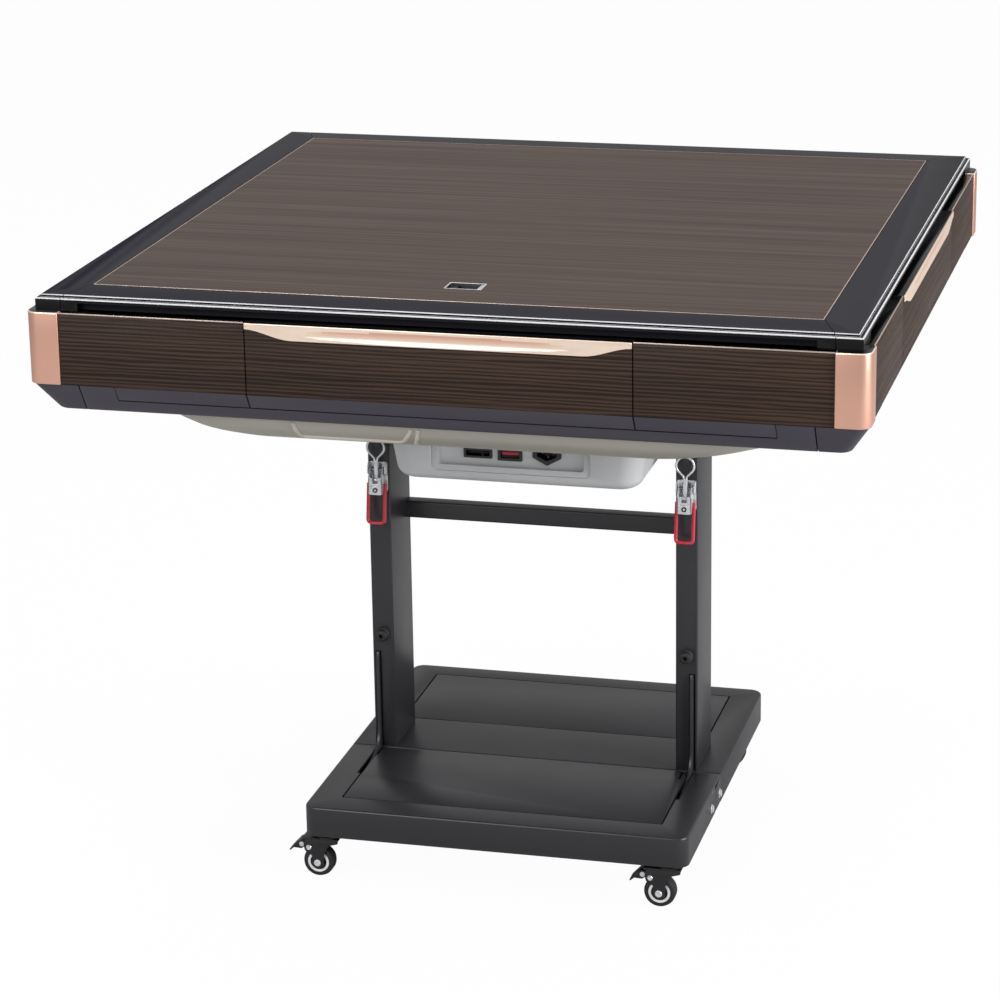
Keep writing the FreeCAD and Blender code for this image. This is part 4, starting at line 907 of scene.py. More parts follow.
class TABLE_OT_drawers(bpy.types.Operator):
    """Four drawers: ribbed wooden front with a lip, open tray, and a hollowed metal pull along the top."""

    bl_idname = "table.drawers"
    bl_label = "Drawers"

    def execute(self, context):
        s = context.scene.table_sizes
        low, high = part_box("drawer_front")
        ends = about(0, high.x)
        board = faced_board(s, ends, ends, -low.y, low.z, high.z)
        front = joined("drawer", *board, self.make_tray(low.y + BOARD, high.y))
        pull = self.make_pull(s, high.x)
        for side, quarter in SIDES:
            drawer = f"drawer_{side}"
            copy = turn_grain(copied(front, f"drawer_face_{side}", quarter), quarter)
            place_piece(copy, drawer, "dark_wood", drawer)
            handle = copied(pull, f"drawer_handle_{side}", quarter)
            place_piece(handle, drawer, "rose_gold", f"drawer_pull_{side}")
        discard(front, pull)
        return {"FINISHED"}

    def make_tray(self, front, back):
        floor, top, wall = 0.690, 0.742, 0.003
        tray = sunk(block("tray", about(0, 0.200), (front, back), (floor, top)), wall, top - floor - wall)
        dressed(tray, "black plastic", 0.0008)
        return paint(tray, "felt", faces(UP, lambda place: place.z < floor + wall * 1.5))

    def make_pull(self, s, half):
        """Boat-shaped bar with a long hollow that fades towards its ends."""
        low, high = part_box("drawer_pull_front")
        full, depth = half - s.pull_run, high.z - low.z
        curve = []
        for step in range(9):
            share = step / 8
            ease = share * share * (3 - 2 * share)
            curve.append((full + s.pull_run * share, low.z + (depth - s.pull_end) * ease))
        lower = [(-x, z) for x, z in reversed(curve)] + curve
        pull = extruded("pull", "y", [(-half, high.z), *lower, (half, high.z)], (low.y, high.y))
        radius, sink = 0.0160, 0.0016
        clear_selection()
        bpy.ops.mesh.primitive_uv_sphere_add(
            segments=64, ring_count=64, radius=1, rotation=(0, QUARTER, 0),
            location=(0, low.y - radius + sink, low.z + depth * 0.47), scale=(radius, radius, 0.385),
        )
        carve(pull, settle(bpy.context.object, "hollow"))
        paint(soften(pull, 0.0007, 3), "cream")

        def hollow(normal, place):
            curved = normal.y < -0.2 and place.y > low.y + 0.00025
            return curved and low.z + 0.003 < place.z < high.z - 0.003 and abs(place.x) < full

        # painted shade: the hollow's faces get the rose-to-pale mix
        return paint(pull, "rose hollow painted shade", where(hollow))


class TABLE_OT_skirt(bpy.types.Operator):
    """Sloping plastic skirt with rounded corners, notched for the lips and split by seams."""

    bl_idname = "table.skirt"
    bl_label = "Skirt"

    def execute(self, context):
        s = context.scene.table_sizes
        low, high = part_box("skirt")
        half, through = high.x, past(low.z, high.z)
        skirt = sheet(half * 2, (0, 0, high.z))
        mode("EDIT")
        clip_corners(0.013, 8)
        push((0, 0, low.z - high.z))
        share = (half - s.skirt_inset) / half
        narrow(share, share, low.z)
        outward(skirt, "skirt_ring")
        round_edges(skirt, foot_edges(low.z), 0.004, 4)
        well = about(0, half - 0.038)
        carve(skirt, block("well", well, well, through))
        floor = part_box("side_panels")[0].z - s.seam
        depth = (-half - BEYOND, -half + BOARD + 0.0005)
        carve_round(skirt, block("notch", about(0, half - NOTCH_END), depth, (floor, high.z + BEYOND)))
        for sign in SIGNS:
            seam = about(sign * s.skirt_seam, s.seam / 2)
            carve(skirt, block("seam", seam, past(-half, half), through))
        piece = dressed(skirt, "slate", s.edge / 2)
        place_piece(piece, "machine", "slate_plastic", "skirt")
        return {"FINISHED"}


class TABLE_OT_bottom(bpy.types.Operator):
    """Pale dish under the machine with a raised loop, and the deeper tub with its control recess."""

    bl_idname = "table.bottom"
    bl_label = "Bottom dish and tub"

    def execute(self, context):
        self.make_dish()
        self.make_tub(context.scene.table_sizes)
        return {"FINISHED"}

    def make_dish(self):
        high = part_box("bottom_dish")[1]
        dish = sheet(high.x * 2, (0, 0, high.z))
        mode("EDIT")
        clip_corners(0.150, 1)
        clip_corners(0.055, 6)
        depth, width = 0, high.x
        for fall, reach in (
            (0.004, 0.446), (0.012, 0.441), (0.020, 0.432), (0.028, 0.420),
            (0.034, 0.405), (0.038, 0.390), (0.040, 0.372),
        ):
            push((0, 0, depth - fall))
            narrow(reach / width, reach / width, high.z - fall)
            depth, width = fall, reach
        outward(dish, "under_dish")
        hollow = copied(dish, "hollow", shift=(0, 0, 0.003))
        hollow.scale = (0.993, 0.993, 1)
        carve(dish, settle(hollow, "hollow"))
        loop = (
            (-0.1775, -0.4460, 0.6430), (-0.1765, -0.4380, 0.6312), (-0.1750, -0.4245, 0.6212),
            (-0.0550, -0.4245, 0.6212), (-0.0460, -0.4380, 0.6312), (-0.0385, -0.4460, 0.6430),
        )
        upright = (
            (-0.0310, -0.4460, 0.6430), (-0.0345, -0.4380, 0.6312),
            (-0.0400, -0.4245, 0.6212), (-0.0440, -0.4100, 0.6140),
        )
        beads = []
        for name, points, count, radius in (("loop", loop, 6, 0.0026), ("upright", upright, 4, 0.0024)):
            bead = wire(name, eased(points, 0.010, count, loop=False), radius, 4)
            # painted highlight: beads in the lighter grey
            beads.append(paint(bead, "bead"))
        # painted shade: the dish in the darker grey
        piece = joined("under_dish", paint(dish, "dish"), *beads)
        place_piece(piece, "machine", "grey_plastic", "bottom_dish", smooth=50)

    def make_tub(self, s):
        low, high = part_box("machine_tub")
        tub = sheet(2, (0, 0, high.z))
        tub.scale = (high.x, high.y, 1)
        settle(tub, "tub")
        mode("EDIT")
        clip_corners(s.tub_rounding, 10)
        push((0, 0, low.z - high.z))
        narrow(0.304 / 0.344, 0.272 / 0.292, low.z)
        outward(tub, "machine_case")
        round_edges(tub, foot_edges(low.z), s.tub_foot, 7)
        x, _, z = spans("control_panel")
        gap = 0.0003
        window = block("window", (x[0] - gap, x[1] + gap), (low.y - BEYOND, -0.105), (z[0] - gap, z[1] + gap))
        carve(tub, round_edges(window, along_edges("y"), 0.0083, 6))
        piece = dressed(tub, "grey", 0.0004, 55)
        place_piece(piece, "machine", "grey_plastic", "machine_tub", smooth=40)


class TABLE_OT_controls(bpy.types.Operator):
    """Control panel in the tub: rounded plate with a recess, screws, socket, switch and mains inlet."""

    bl_idname = "table.controls"
    bl_label = "Control panel"

    def execute(self, context):
        low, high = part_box("control_panel")
        tub_low, tub_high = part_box("machine_tub")
        lean = math.atan((tub_high.y + low.y) / (tub_high.z - tub_low.z))
        outline = rounded_rectangle((low.x, high.x), (low.z, high.z), 0.008)
        plate = focus(extruded("plate", "y", outline, (low.y - 0.0008, high.y)))
        bpy.ops.transform.rotate(value=lean, orient_axis="X", center_override=(0, low.y, low.z))
        settle(plate, "control_plate")
        mouth = rounded_rectangle((low.x + 0.008, high.x - 0.008), (low.z + 0.007, high.z - 0.009), 0.005)
        z = sum(corner.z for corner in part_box("power_switch")) / 2
        socket, switch, inlet = (-0.047, z), (-0.007, z), (0.039, z)
        through, behind = past(FITTING_Y, high.y), (high.y - 0.0004, high.y + 0.02)
        carve(
            plate,
            extruded("recess", "y", mouth, (low.y - 0.02, FITTING_Y)),
            block("back", (low.x + 0.004, high.x - 0.004), behind, past(low.z, high.z)),
            extruded("hole", "y", self.pentagon(*inlet, 0.0), through),
            block("hole", about(socket[0], 0.0165), through, about(z, 0.005)),
            block("hole", about(switch[0], 0.0135), through, about(z, 0.006)),
        )
        paint(soften(plate, 0.0007, 3), "grey")
        place_piece(plate, "machine", "grey_plastic", "control_panel", smooth=40)
        up = high.z - 0.005
        front = low.y - (up - low.z) * math.tan(lean) - 0.0008
        ends = (front - 0.0006, front + 0.003)
        screws = [screw_head((x, up), ends, 0.0016) for x in (low.x + 0.004, high.x - 0.004)]
        place_piece(paint(joined("control_screws", *screws), "steel"), "machine", "steel")
        self.make_socket(*socket)
        self.make_switch(*switch)
        self.make_inlet(*inlet)
        return {"FINISHED"}

    def shell(self, name, outline, mouth, depth, edge):
        """Flanged black box open to the front."""
        body = extruded(name, "y", outline, (FITTING_Y - 0.002, FITTING_Y + depth))
        carve(body, extruded("mouth", "y", mouth, (FITTING_Y - BEYOND, FITTING_Y + depth - 0.002)))
        return dressed(body, "black plastic", edge)

    def make_socket(self, x, z):
        outer = rounded_rectangle(about(x, 0.0178), about(z, 0.0062), 0.0012, 3)
        inner = rounded_rectangle(about(x, 0.0148), about(z, 0.0034), 0.0005, 2)
        body = self.shell("socket", outer, inner, 0.012, 0.0003)
        y = FITTING_Y
        tongue = block("tongue", about(x, 0.012), (y + 0.001, y + 0.0105), (z + 0.0004, z + 0.0016))
        latch = block("latch", (x + 0.004, x + 0.0075), (y - 0.0003, y + 0.004), (z - 0.0034, z - 0.0012))
        piece = joined("data_socket", body, *(dressed(part, "gloss", 0.0003) for part in (tongue, latch)))
        place_piece(piece, "machine", "black_plastic", "panel_fittings")

    def make_switch(self, x, z):
        outer = rounded_rectangle(about(x, 0.0153), about(z, 0.0078), 0.0014, 3)
        inner = rounded_rectangle(about(x, 0.0117), about(z, 0.0042), 0.0006, 2)
        place_piece(self.shell("switch_frame", outer, inner, 0.014, 0.0004), "machine", "black_plastic")
        low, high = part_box("power_switch")
        rise = (high.z - low.z) * 0.28
        outline = [
            (low.y + 0.0001, low.z), (low.y + 0.0013, low.z + rise), (low.y + 0.0019, z),
            (low.y + 0.0013, high.z - rise), (low.y + 0.0001, high.z),
            (high.y, high.z - 0.0018), (high.y, low.z + 0.0018),
        ]
        key = soften(extruded("rocker_key", "x", outline, (low.x, high.x)), 0.0004, 3, 25)
        paint(key, "red")
        # painted shade: the lower half of the red rocker key in black
        paint(key, "black plastic", faces(test=lambda place: place.z < z - 0.0003))
        place_piece(key, "power_switch", "red_plastic", "power_switch")

    def pentagon(self, x, z, grow):
        """Outline of the mains inlet, flat above and pointed below."""
        (left, right), top = about(x, 0.0165 + grow), z + 0.0095 + grow
        shoulder, tip = z - 0.001 - grow * 0.4, z - 0.0098 - grow * 1.1
        corners = [(left, top), (left, shoulder), (x, tip), (right, shoulder), (right, top)]
        return eased_pairs(corners, 0.0018, 4)

    def make_inlet(self, x, z):
        outer, inner = self.pentagon(x, z, 0.0012), self.pentagon(x, z, -0.0042)
        parts = [self.shell("mains_inlet", outer, inner, 0.016, 0.0004)]
        depth = (FITTING_Y + 0.005, FITTING_Y + 0.0145)
        for across, up in ((-0.007, 0.0035), (0.007, 0.0035), (0.0, -0.0025)):
            pin = block("pin", about(x + across, 0.0006), depth, about(z + up, 0.0016))
            parts.append(dressed(pin, "steel", 0.0003))
        place_piece(joined("mains_inlet", *parts), "machine", "black_plastic")


class TABLE_OT_columns(bpy.types.Operator):
    """Columns, crossbar, curved braces and bumpers."""

    bl_idname = "table.columns"
    bl_label = "Columns"

    def execute(self, context):
        s = context.scene.table_sizes
        slot_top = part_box("column_braces")[1].z + 0.0005
        for hand, sign in HANDS:
            x, y, z = spans(f"column_{hand}")
            column = round_edges(block(f"post_{hand}", x, y, z), along_edges("z"), s.column_edge, 4)
            depth = (y[0] - BEYOND, y[0] + 0.0045)
            carve(column, block("slot", about(sign * BRACE_X, 0.0035), depth, (z[0] - BEYOND, slot_top)))
            place_piece(dressed(column, "powder", 0.0006), "stand", "powder_black", f"column_{hand}")
            self.make_brace(hand, sign * BRACE_X, y[0])
            self.make_bumper(hand, sum(x) / 2)
        bar = round_edges(block("cross_tube", *spans("crossbar")), along_edges("x"), s.column_edge, 4)
        place_piece(paint(bar, "powder"), "stand", "powder_black", "crossbar")
        return {"FINISHED"}

    def make_brace(self, hand, middle, front):
        """Pressed plate whose front edge sweeps forward from the column onto the base arm."""
        low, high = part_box("column_braces")
        deck, foot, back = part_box("base_rear")[1].z, SPLIT_Y - 0.0005, front + 0.0025
        sweep = [(low.y, low.z + 0.002), (front - 0.005, deck), (front - 0.005, high.z - 0.010)]
        outline = [
            *eased_pairs(sweep, 0.034, 12, loop=False), (front - 0.0025, high.z),
            (back, high.z), (back, deck), (foot, deck), (foot, low.z), (low.y, low.z),
        ]
        plate = extruded(f"brace_{hand}", "x", outline, about(middle, 0.002))
        place_piece(dressed(plate, "powder", 0.0005), "stand", "powder_black", "column_braces")

    def make_bumper(self, hand, middle):
        low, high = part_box("column_bumpers")
        height, radius, half_way = (low.z + high.z) / 2, (high.z - low.z) / 2, (low.y + high.y) / 2
        outline = [
            (0.0, high.y), (radius, high.y), (radius, high.y - 0.003), (radius - 0.0012, high.y - 0.004),
            (radius - 0.0012, low.y + 0.0035), (radius - 0.0022, low.y + 0.001), (radius - 0.0038, low.y),
            (0.0031, low.y), (0.0026, low.y + 0.0008), (0.0026, half_way), (0.0, half_way),
        ]
        bumper = spun(f"bumper_{hand}", "y", outline, (middle, height), 40)
        place_piece(paint(bumper, "rubber"), "stand", "rubber", "column_bumpers")


class TABLE_OT_base(bpy.types.Operator):
    """Wheeled base: two pressed trays with grooves, the arms under the folding half, and hinge bolts."""

    bl_idname = "table.base"
    bl_label = "Base"

    def execute(self, context):
        s = context.scene.table_sizes
        self.make_half(s, "rear", "stand")
        self.make_half(s, "front", "base_front")
        self.make_bolts()
        return {"FINISHED"}

    def make_half(self, s, name, body):
        node, rear, wall = f"base_{name}", name == "rear", 0.003
        half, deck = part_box("base_rear")[1].xz
        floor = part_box("base_rear")[0].z
        near, far = (SPLIT_Y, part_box(node)[1].y) if rear else (SPLIT_Y - 0.001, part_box(node)[0].y)
        inner_near, inner_far = (SPLIT_Y + wall, far - wall) if rear else (SPLIT_Y + 0.02, far + wall)

        def rim(edge):
            points = [vertex.co for vertex in edge.verts]
            beside = all(abs(point.x) > half - 0.0001 for point in points)
            away = all(abs(point.y - SPLIT_Y) > 0.03 for point in points)
            return all(abs(point.z - deck) < 0.0001 for point in points) and (beside or away)

        tray = block(f"{node}_tray", about(0, half), sorted((near, far)), (floor, deck))
        round_edges(tray, along_edges("z", lambda place: abs(place.y - far) < 0.001), s.base_corner, 10)
        round_edges(tray, rim, s.base_edge, 4)
        height = (floor - BEYOND, deck - wall)
        hollow = block("hollow", about(0, half - wall), sorted((inner_near, inner_far)), height)
        corners = along_edges("z", lambda place: abs(place.y - inner_far) < 0.001)
        carve(tray, round_edges(hollow, corners, s.base_corner - wall, 6))
        parts = self.make_arms(half, deck - wall, floor) if rear else self.open_front(tray, half, deck, height)
        for hand, sign in HANDS:
            y = sum(spans(f"caster_wheel_{name}_{hand}")[1]) / 2
            boss = block("boss", about(sign * CASTER_X, 0.009), about(y, 0.009), (floor, deck - wall))
            parts.append(boss)
        parts = [dressed(part, "powder", 0.0006) for part in parts]
        self.cut_grooves(tray, s.groove / 2, half - 0.039, deck, far, rear)
        dressed(tray, "powder", 0.0005, 45)
        # painted shade: groove floors in near black
        paint(tray, "gap", faces(UP, lambda place: deck - 0.0015 < place.z < deck - 0.0005))
        place_piece(joined(f"{node}_tray", tray, *parts), body, "powder_black", node, smooth=40)

    def make_arms(self, half, ceiling, floor):
        """Cheeks and arms that reach forward under the folding half."""
        parts, front = [], SPLIT_Y - 0.035
        outline = [(SPLIT_Y, ceiling - 0.0005), (front, floor + 0.029), (front, floor), (SPLIT_Y, floor)]
        for sign in SIGNS:
            parts.append(extruded("cheek", "x", outline, (sign * half, sign * (half - 0.003))))
            across = about(sign * BRACE_X, 0.013)
            parts.append(block("arm", across, (SPLIT_Y - 0.085, SPLIT_Y), (floor, floor + 0.028)))
        return parts

    def open_front(self, tray, half, deck, height):
        """Open the folding half towards the arms, and slot it for the braces and latches."""
        end, through = SPLIT_Y + BEYOND, about(deck, BEYOND)
        carve(tray, block("open", past(-half, half), (SPLIT_Y - 0.036, end), height))
        for sign in SIGNS:
            notch = sign * LATCH_X
            carve(
                tray,
                block("slot", about(sign * BRACE_X, 0.0035), (SPLIT_Y - 0.095, end), through),
                block("notch", (notch - 0.005, notch - 0.0015), (SPLIT_Y - 0.030, end), through),
            )
        return []

    def cut_grooves(self, tray, wide, reach, deck, far, rear):
        """Fine grooves that frame the middle of each top."""
        near, across = SPLIT_Y + BEYOND, [far + 0.040]
        if rear:
            near, across = far - 0.033, [far - 0.033, SPLIT_Y + 0.104]
        depth, ends = (deck - 0.0009, deck + BEYOND), sorted((near, across[-1]))
        for y in across:
            carve(tray, block("groove", about(0, reach), about(y, wide), depth))
        for sign in SIGNS:
            carve(tray, block("groove", about(sign * reach, wide), ends, depth))

    def make_bolts(self):
        """Flanged hexagon bolts at the fold's hinge."""
        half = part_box("base_rear")[1].x
        for label, body in (("front", "base_front"), ("rear", "stand")):
            node = f"{label}_hinge_bolts"
            low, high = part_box(node)
            centre, radius = ((low.y + high.y) / 2, (low.z + high.z) / 2), (high.z - low.z) / 2
            heads = []
            for sign in SIGNS:
                flange = round_bar("flange", "x", centre, (sign * half, sign * (half + 0.0009)), radius)
                head = round_bar("head", "x", centre, (sign * half, sign * high.x), radius * 0.78, 6)
                heads += [soften(flange, 0.0003), soften(head, 0.0005)]
            place_piece(paint(joined(f"hinge_bolts_{label}", *heads), "zinc"), body, "zinc", node)


class TABLE_OT_casters(bpy.types.Operator):
    """Swivel casters: pressed fork under a ball race, tyre with pale flanks, brake pedal, bright rivets."""

    bl_idname = "table.casters"
    bl_label = "Casters"

    def execute(self, context):
        boxes = {part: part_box(f"caster_{part}_front_right") for part in ("wheel", "fork", "pedal")}
        hub = (boxes["wheel"][0] + boxes["wheel"][1]) / 2
        parts = [
            (self.make_wheel(hub, *boxes["wheel"]), "caster_wheel", "tyre"),
            (self.make_fork(hub, boxes["fork"][1].z), "caster_fork", "black_plastic"),
            (self.make_pedal(hub, *boxes["pedal"]), "caster_pedal", "black_plastic"),
        ]
        for row in ("front", "middle", "rear"):
            for hand, _ in HANDS:
                name = f"{row}_{hand}"
                low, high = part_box(f"caster_wheel_{name}")
                for part, body, slot in parts[:2] if row == "middle" else parts:
                    piece = copied(part, f"{body}_{name}_made", shift=(low + high) / 2 - hub)
                    place_piece(piece, f"{body}_{name}", slot, f"{body}_{name}")
        discard(*(part for part, _, _ in parts))
        return {"FINISHED"}

    def make_wheel(self, hub, low, high):
        radius, half = (high.z - low.z) / 2, (high.y - low.y) / 2
        flank = [
            (0.0031, 0.003), (0.0072, 0.003), (0.0078, 0.0022), (0.0095, 0.0022), (0.0103, 0.0006),
            (0.0135, 0.0006), (0.0140, 0.0001), (radius - 0.0030, 0), (radius - 0.0010, 0.0012), (radius, 0.0040),
        ]
        outline = [(away, hub.y + (half - dip)) for away, dip in flank]
        outline += [(away, hub.y - (half - dip)) for away, dip in reversed(flank)]
        wheel = spun("wheel", "y", [*outline, outline[0]], (hub.x, hub.z), 48)

        def pale(place):
            return 0.0104 < math.hypot(place.x - hub.x, place.z - hub.z) < 0.0134

        return paint(paint(wheel, "rubber"), "white plastic", faces(test=pale))

    def make_fork(self, hub, top):
        """Two cheeks with a swept outline, folded from a crown under the swivel head."""
        stem_x, crown, inner, outer = hub.x + 0.012, 0.050, 0.0105, 0.013
        swept = [
            (stem_x + 0.0145, crown), (stem_x + 0.0148, crown - 0.0035), (stem_x + 0.0030, crown - 0.0070),
            (hub.x + 0.0085, hub.z + 0.0120), (hub.x + 0.0072, hub.z - 0.0060), (hub.x, hub.z - 0.0068),
            (hub.x - 0.0072, hub.z - 0.0060), (hub.x - 0.0062, hub.z + 0.0100), (hub.x - 0.0160, hub.z + 0.0150),
            (hub.x - 0.0175, crown - 0.0060), (hub.x - 0.0150, crown),
        ]
        parts = []
        for sign in SIGNS:
            ends = (hub.y + sign * inner, hub.y + sign * outer)
            parts.append(extruded("cheek", "y", eased_pairs(swept, 0.006, 4), ends))
        height = (crown - 0.0008, crown + 0.0022)
        parts.append(block("crown", (stem_x - 0.031, stem_x + 0.015), about(hub.y, outer), height))
        parts = [dressed(part, "black plastic", 0.0006, 45) for part in parts]
        race = [
            (0.0, 0.0515), (0.0125, 0.0515), (0.0150, 0.0530), (0.0150, 0.0545), (0.0128, 0.0552), (0.0128, 0.0566),
            (0.0146, 0.0570), (0.0150, 0.0580), (0.0150, 0.0592), (0.0138, 0.0597), (0.0, 0.0597),
        ]
        parts.append(paint(spun("race", "z", race, (stem_x, hub.y), 40), "black plastic"))
        stem = round_bar("stem", "z", (stem_x, hub.y), (0.0597, top), 0.005, 24)
        parts.append(dressed(stem, "steel", 0.0006))
        profile = [(0, 0.0), (1, 0.0), (1, 0.0006), (0.75, 0.0016), (0.45, 0.0012), (0, 0.0012)]
        parts += self.rivets(hub.y, outer, (hub.x, hub.z), 0.0044, profile)
        parts += self.rivets(hub.y, outer, (hub.x - 0.0105, hub.z + 0.0200), 0.0034, profile)
        axle = round_bar("axle", "y", (hub.x, hub.z), about(hub.y, outer), 0.003, 20)
        return joined("fork", *parts, paint(axle, "steel"))

    def rivets(self, middle, outer, centre, radius, profile):
        """Bright heads on both faces."""
        made = []
        for sign in SIGNS:
            outline = [(share * radius, middle + sign * (outer + rise)) for share, rise in profile]
            made.append(paint(spun("rivet", "y", outline, centre, 24), "zinc"))
        return made

    def make_pedal(self, hub, low, high):
        pin_x, pin_z, half = hub.x - 0.017, 0.042, 0.0097
        shape = [
            (pin_x + 0.0034, pin_z - 0.0010), (pin_x + 0.0030, pin_z + 0.0034), (pin_x - 0.0048, high.z),
            (pin_x - 0.0090, pin_z + 0.0030), (low.x, low.z + 0.0012), (low.x + 0.0012, low.z),
            (low.x + 0.0062, low.z + 0.0044), (pin_x - 0.0040, pin_z - 0.0062),
        ]
        pedal = extruded("pedal", "y", eased_pairs(shape, 0.002, 3), about(hub.y, half))
        notch = [(low.x - 0.001, low.z - 0.001), (low.x + 0.006, low.z + 0.0025), (low.x + 0.0075, low.z - 0.001)]
        carve(pedal, extruded("notch", "y", notch, about(hub.y, half * 0.45)))
        profile = [(0, -0.0005), (1, -0.0005), (1, 0.0), (0.7, 0.0003), (0, 0.0003)]
        rivets = self.rivets(hub.y, half, (pin_x - 0.0036, pin_z - 0.0004), 0.0032, profile)
        return joined("pedal", dressed(pedal, "black plastic", 0.0006), *rivets)


class TABLE_OT_latches(bpy.types.Operator):
    """Toggle latches: riveted bracket, folded lever with a dipped wire grip, and a link that ends in a ring."""

    bl_idname = "table.latches"
    bl_label = "Latches"

    def execute(self, context):
        parts = self.make_bracket(), self.make_lever(context.scene.table_sizes.wire / 2), self.make_link()
        for hand, sign in HANDS:
            nodes = "latch_brackets", f"latch_lever_{hand}", f"latch_link_{hand}"
            for part, body, node in zip(parts, ("stand", *nodes[1:]), nodes):
                piece = copied(part, f"{part.name}_{hand}", shift=(sign * LATCH_X, 0, 0))
                place_piece(piece, body, "zinc", node, smooth=40)
        discard(*parts)
        return {"FINISHED"}

    def make_bracket(self):
        """Plate and two ears modelled about the column's middle, with rivets and the pivot."""
        back = -0.0552
        plate = block("latch_base", about(0, 0.012), (SPLIT_Y, back), (0.440, 0.479))
        parts = [round_edges(plate, along_edges("y", lambda place: place.z < 0.450), 0.004, 5)]
        outline = [(back, 0.462), (-0.060, 0.462), (-0.066, 0.466), (-0.066, 0.4735), (-0.0615, 0.479), (back, 0.479)]
        for sign in SIGNS:
            parts.append(extruded("ear", "x", outline, (sign * 0.0103, sign * 0.012)))
        parts = [dressed(part, "zinc", 0.0005) for part in parts]
        parts.append(paint(round_bar("pivot", "x", LEVER_PIN, about(0, 0.0119), 0.0019, 20), "steel"))
        profile = [(0.0, -0.0583), (0.0012, -0.0582), (0.0022, -0.0577), (0.0025, -0.0570), (0.0, -0.0570)]
        for centre in ((0.0, 0.4445), (-0.0032, 0.4745), (0.0032, 0.4745)):
            parts.append(paint(spun("rivet", "y", profile, centre, 20), "steel"))
        return joined("latch_bracket_made", *parts)

    def make_lever(self, thin):
        plate = block("plate", about(0, 0.009), (-0.0730, -0.0706), (0.440, 0.462))
        carve(
            plate,
            block("slot", about(0, 0.0034), (-0.08, -0.065), (0.4545, 0.47)),
            block("slit", about(0, 0.0058), (-0.0745, -0.0718), (0.4506, 0.4518)),
        )
        parts = [round_edges(plate, along_edges("y", lambda place: place.z < 0.441), 0.003, 4)]
        outline = [
            (-0.073, 0.4415), (-0.0706, 0.440), (-0.0602, 0.4545), (-0.059, 0.458), (-0.059, 0.4715),
            (-0.0605, 0.4735), (-0.0640, 0.4738), (-0.0664, 0.4715), (-0.0700, 0.4655), (-0.073, 0.462),
        ]
        for sign in SIGNS:
            cheek = extruded("cheek", "x", outline, (sign * 0.0072, sign * 0.009))
            parts.append(carve(cheek, round_bar("bore", "x", LEVER_PIN, about(0, 0.02), 0.0022, 16)))
        parts = [dressed(part, "zinc", 0.0005) for part in parts]
        parts.append(paint(round_bar("link_pin", "x", LINK_PIN, about(0, 0.0088), 0.00145, 16), "steel"))
        screw = (0.0, 0.4463)
        parts.append(paint(screw_head(screw, (-0.0738, -0.0700), 0.0033), "black plastic"))
        parts.append(paint(round_bar("boss", "y", screw, (-0.0739, -0.0728), 0.0012, 16), "zinc"))
        half, y, low = 0.013 - thin, -0.0717, 0.401 + thin
        bend = [(-half, -0.0640, 0.4530), (-half, y, low), (half, y, low), (half, -0.0640, 0.4530)]
        parts.append(paint(wire("grip", eased(bend, 0.0052, 6, loop=False), thin, 5), "red"))
        return joined("latch_lever_made", *parts)

    def make_link(self):
        """Ring on a split stem whose arms part below the ring, with an eye on the link pin."""
        y, bar = LINK_PIN[0], 0.00145
        ring = [(x, y, z) for x, z in arc_points((0, 0.500), 0.0111, -50, 230, 28)]
        parts = [wire("ring", ring, bar, 5)]
        x, _, z = ring[0]
        for sign in SIGNS:
            path = [(x * sign, y, z), (sign * 0.0018, y, 0.4860), (sign * 0.0011, y, 0.4600)]
            parts.append(wire("arm", eased(path, 0.004, 5, loop=False), bar * 0.85, 4))
        eye = round_bar("eye", "x", LINK_PIN, about(0, 0.0044), 0.0029, 24)
        carve(eye, round_bar("bore", "x", LINK_PIN, about(0, 0.01), 0.0016, 16))
        clamp = block("clamp", about(0, 0.0024), about(y, bar), (0.4600, 0.4835))
        parts += [soften(eye, 0.0004), soften(clamp, 0.0006)]
        return joined("latch_link_made", *(paint(part, "zinc") for part in parts))


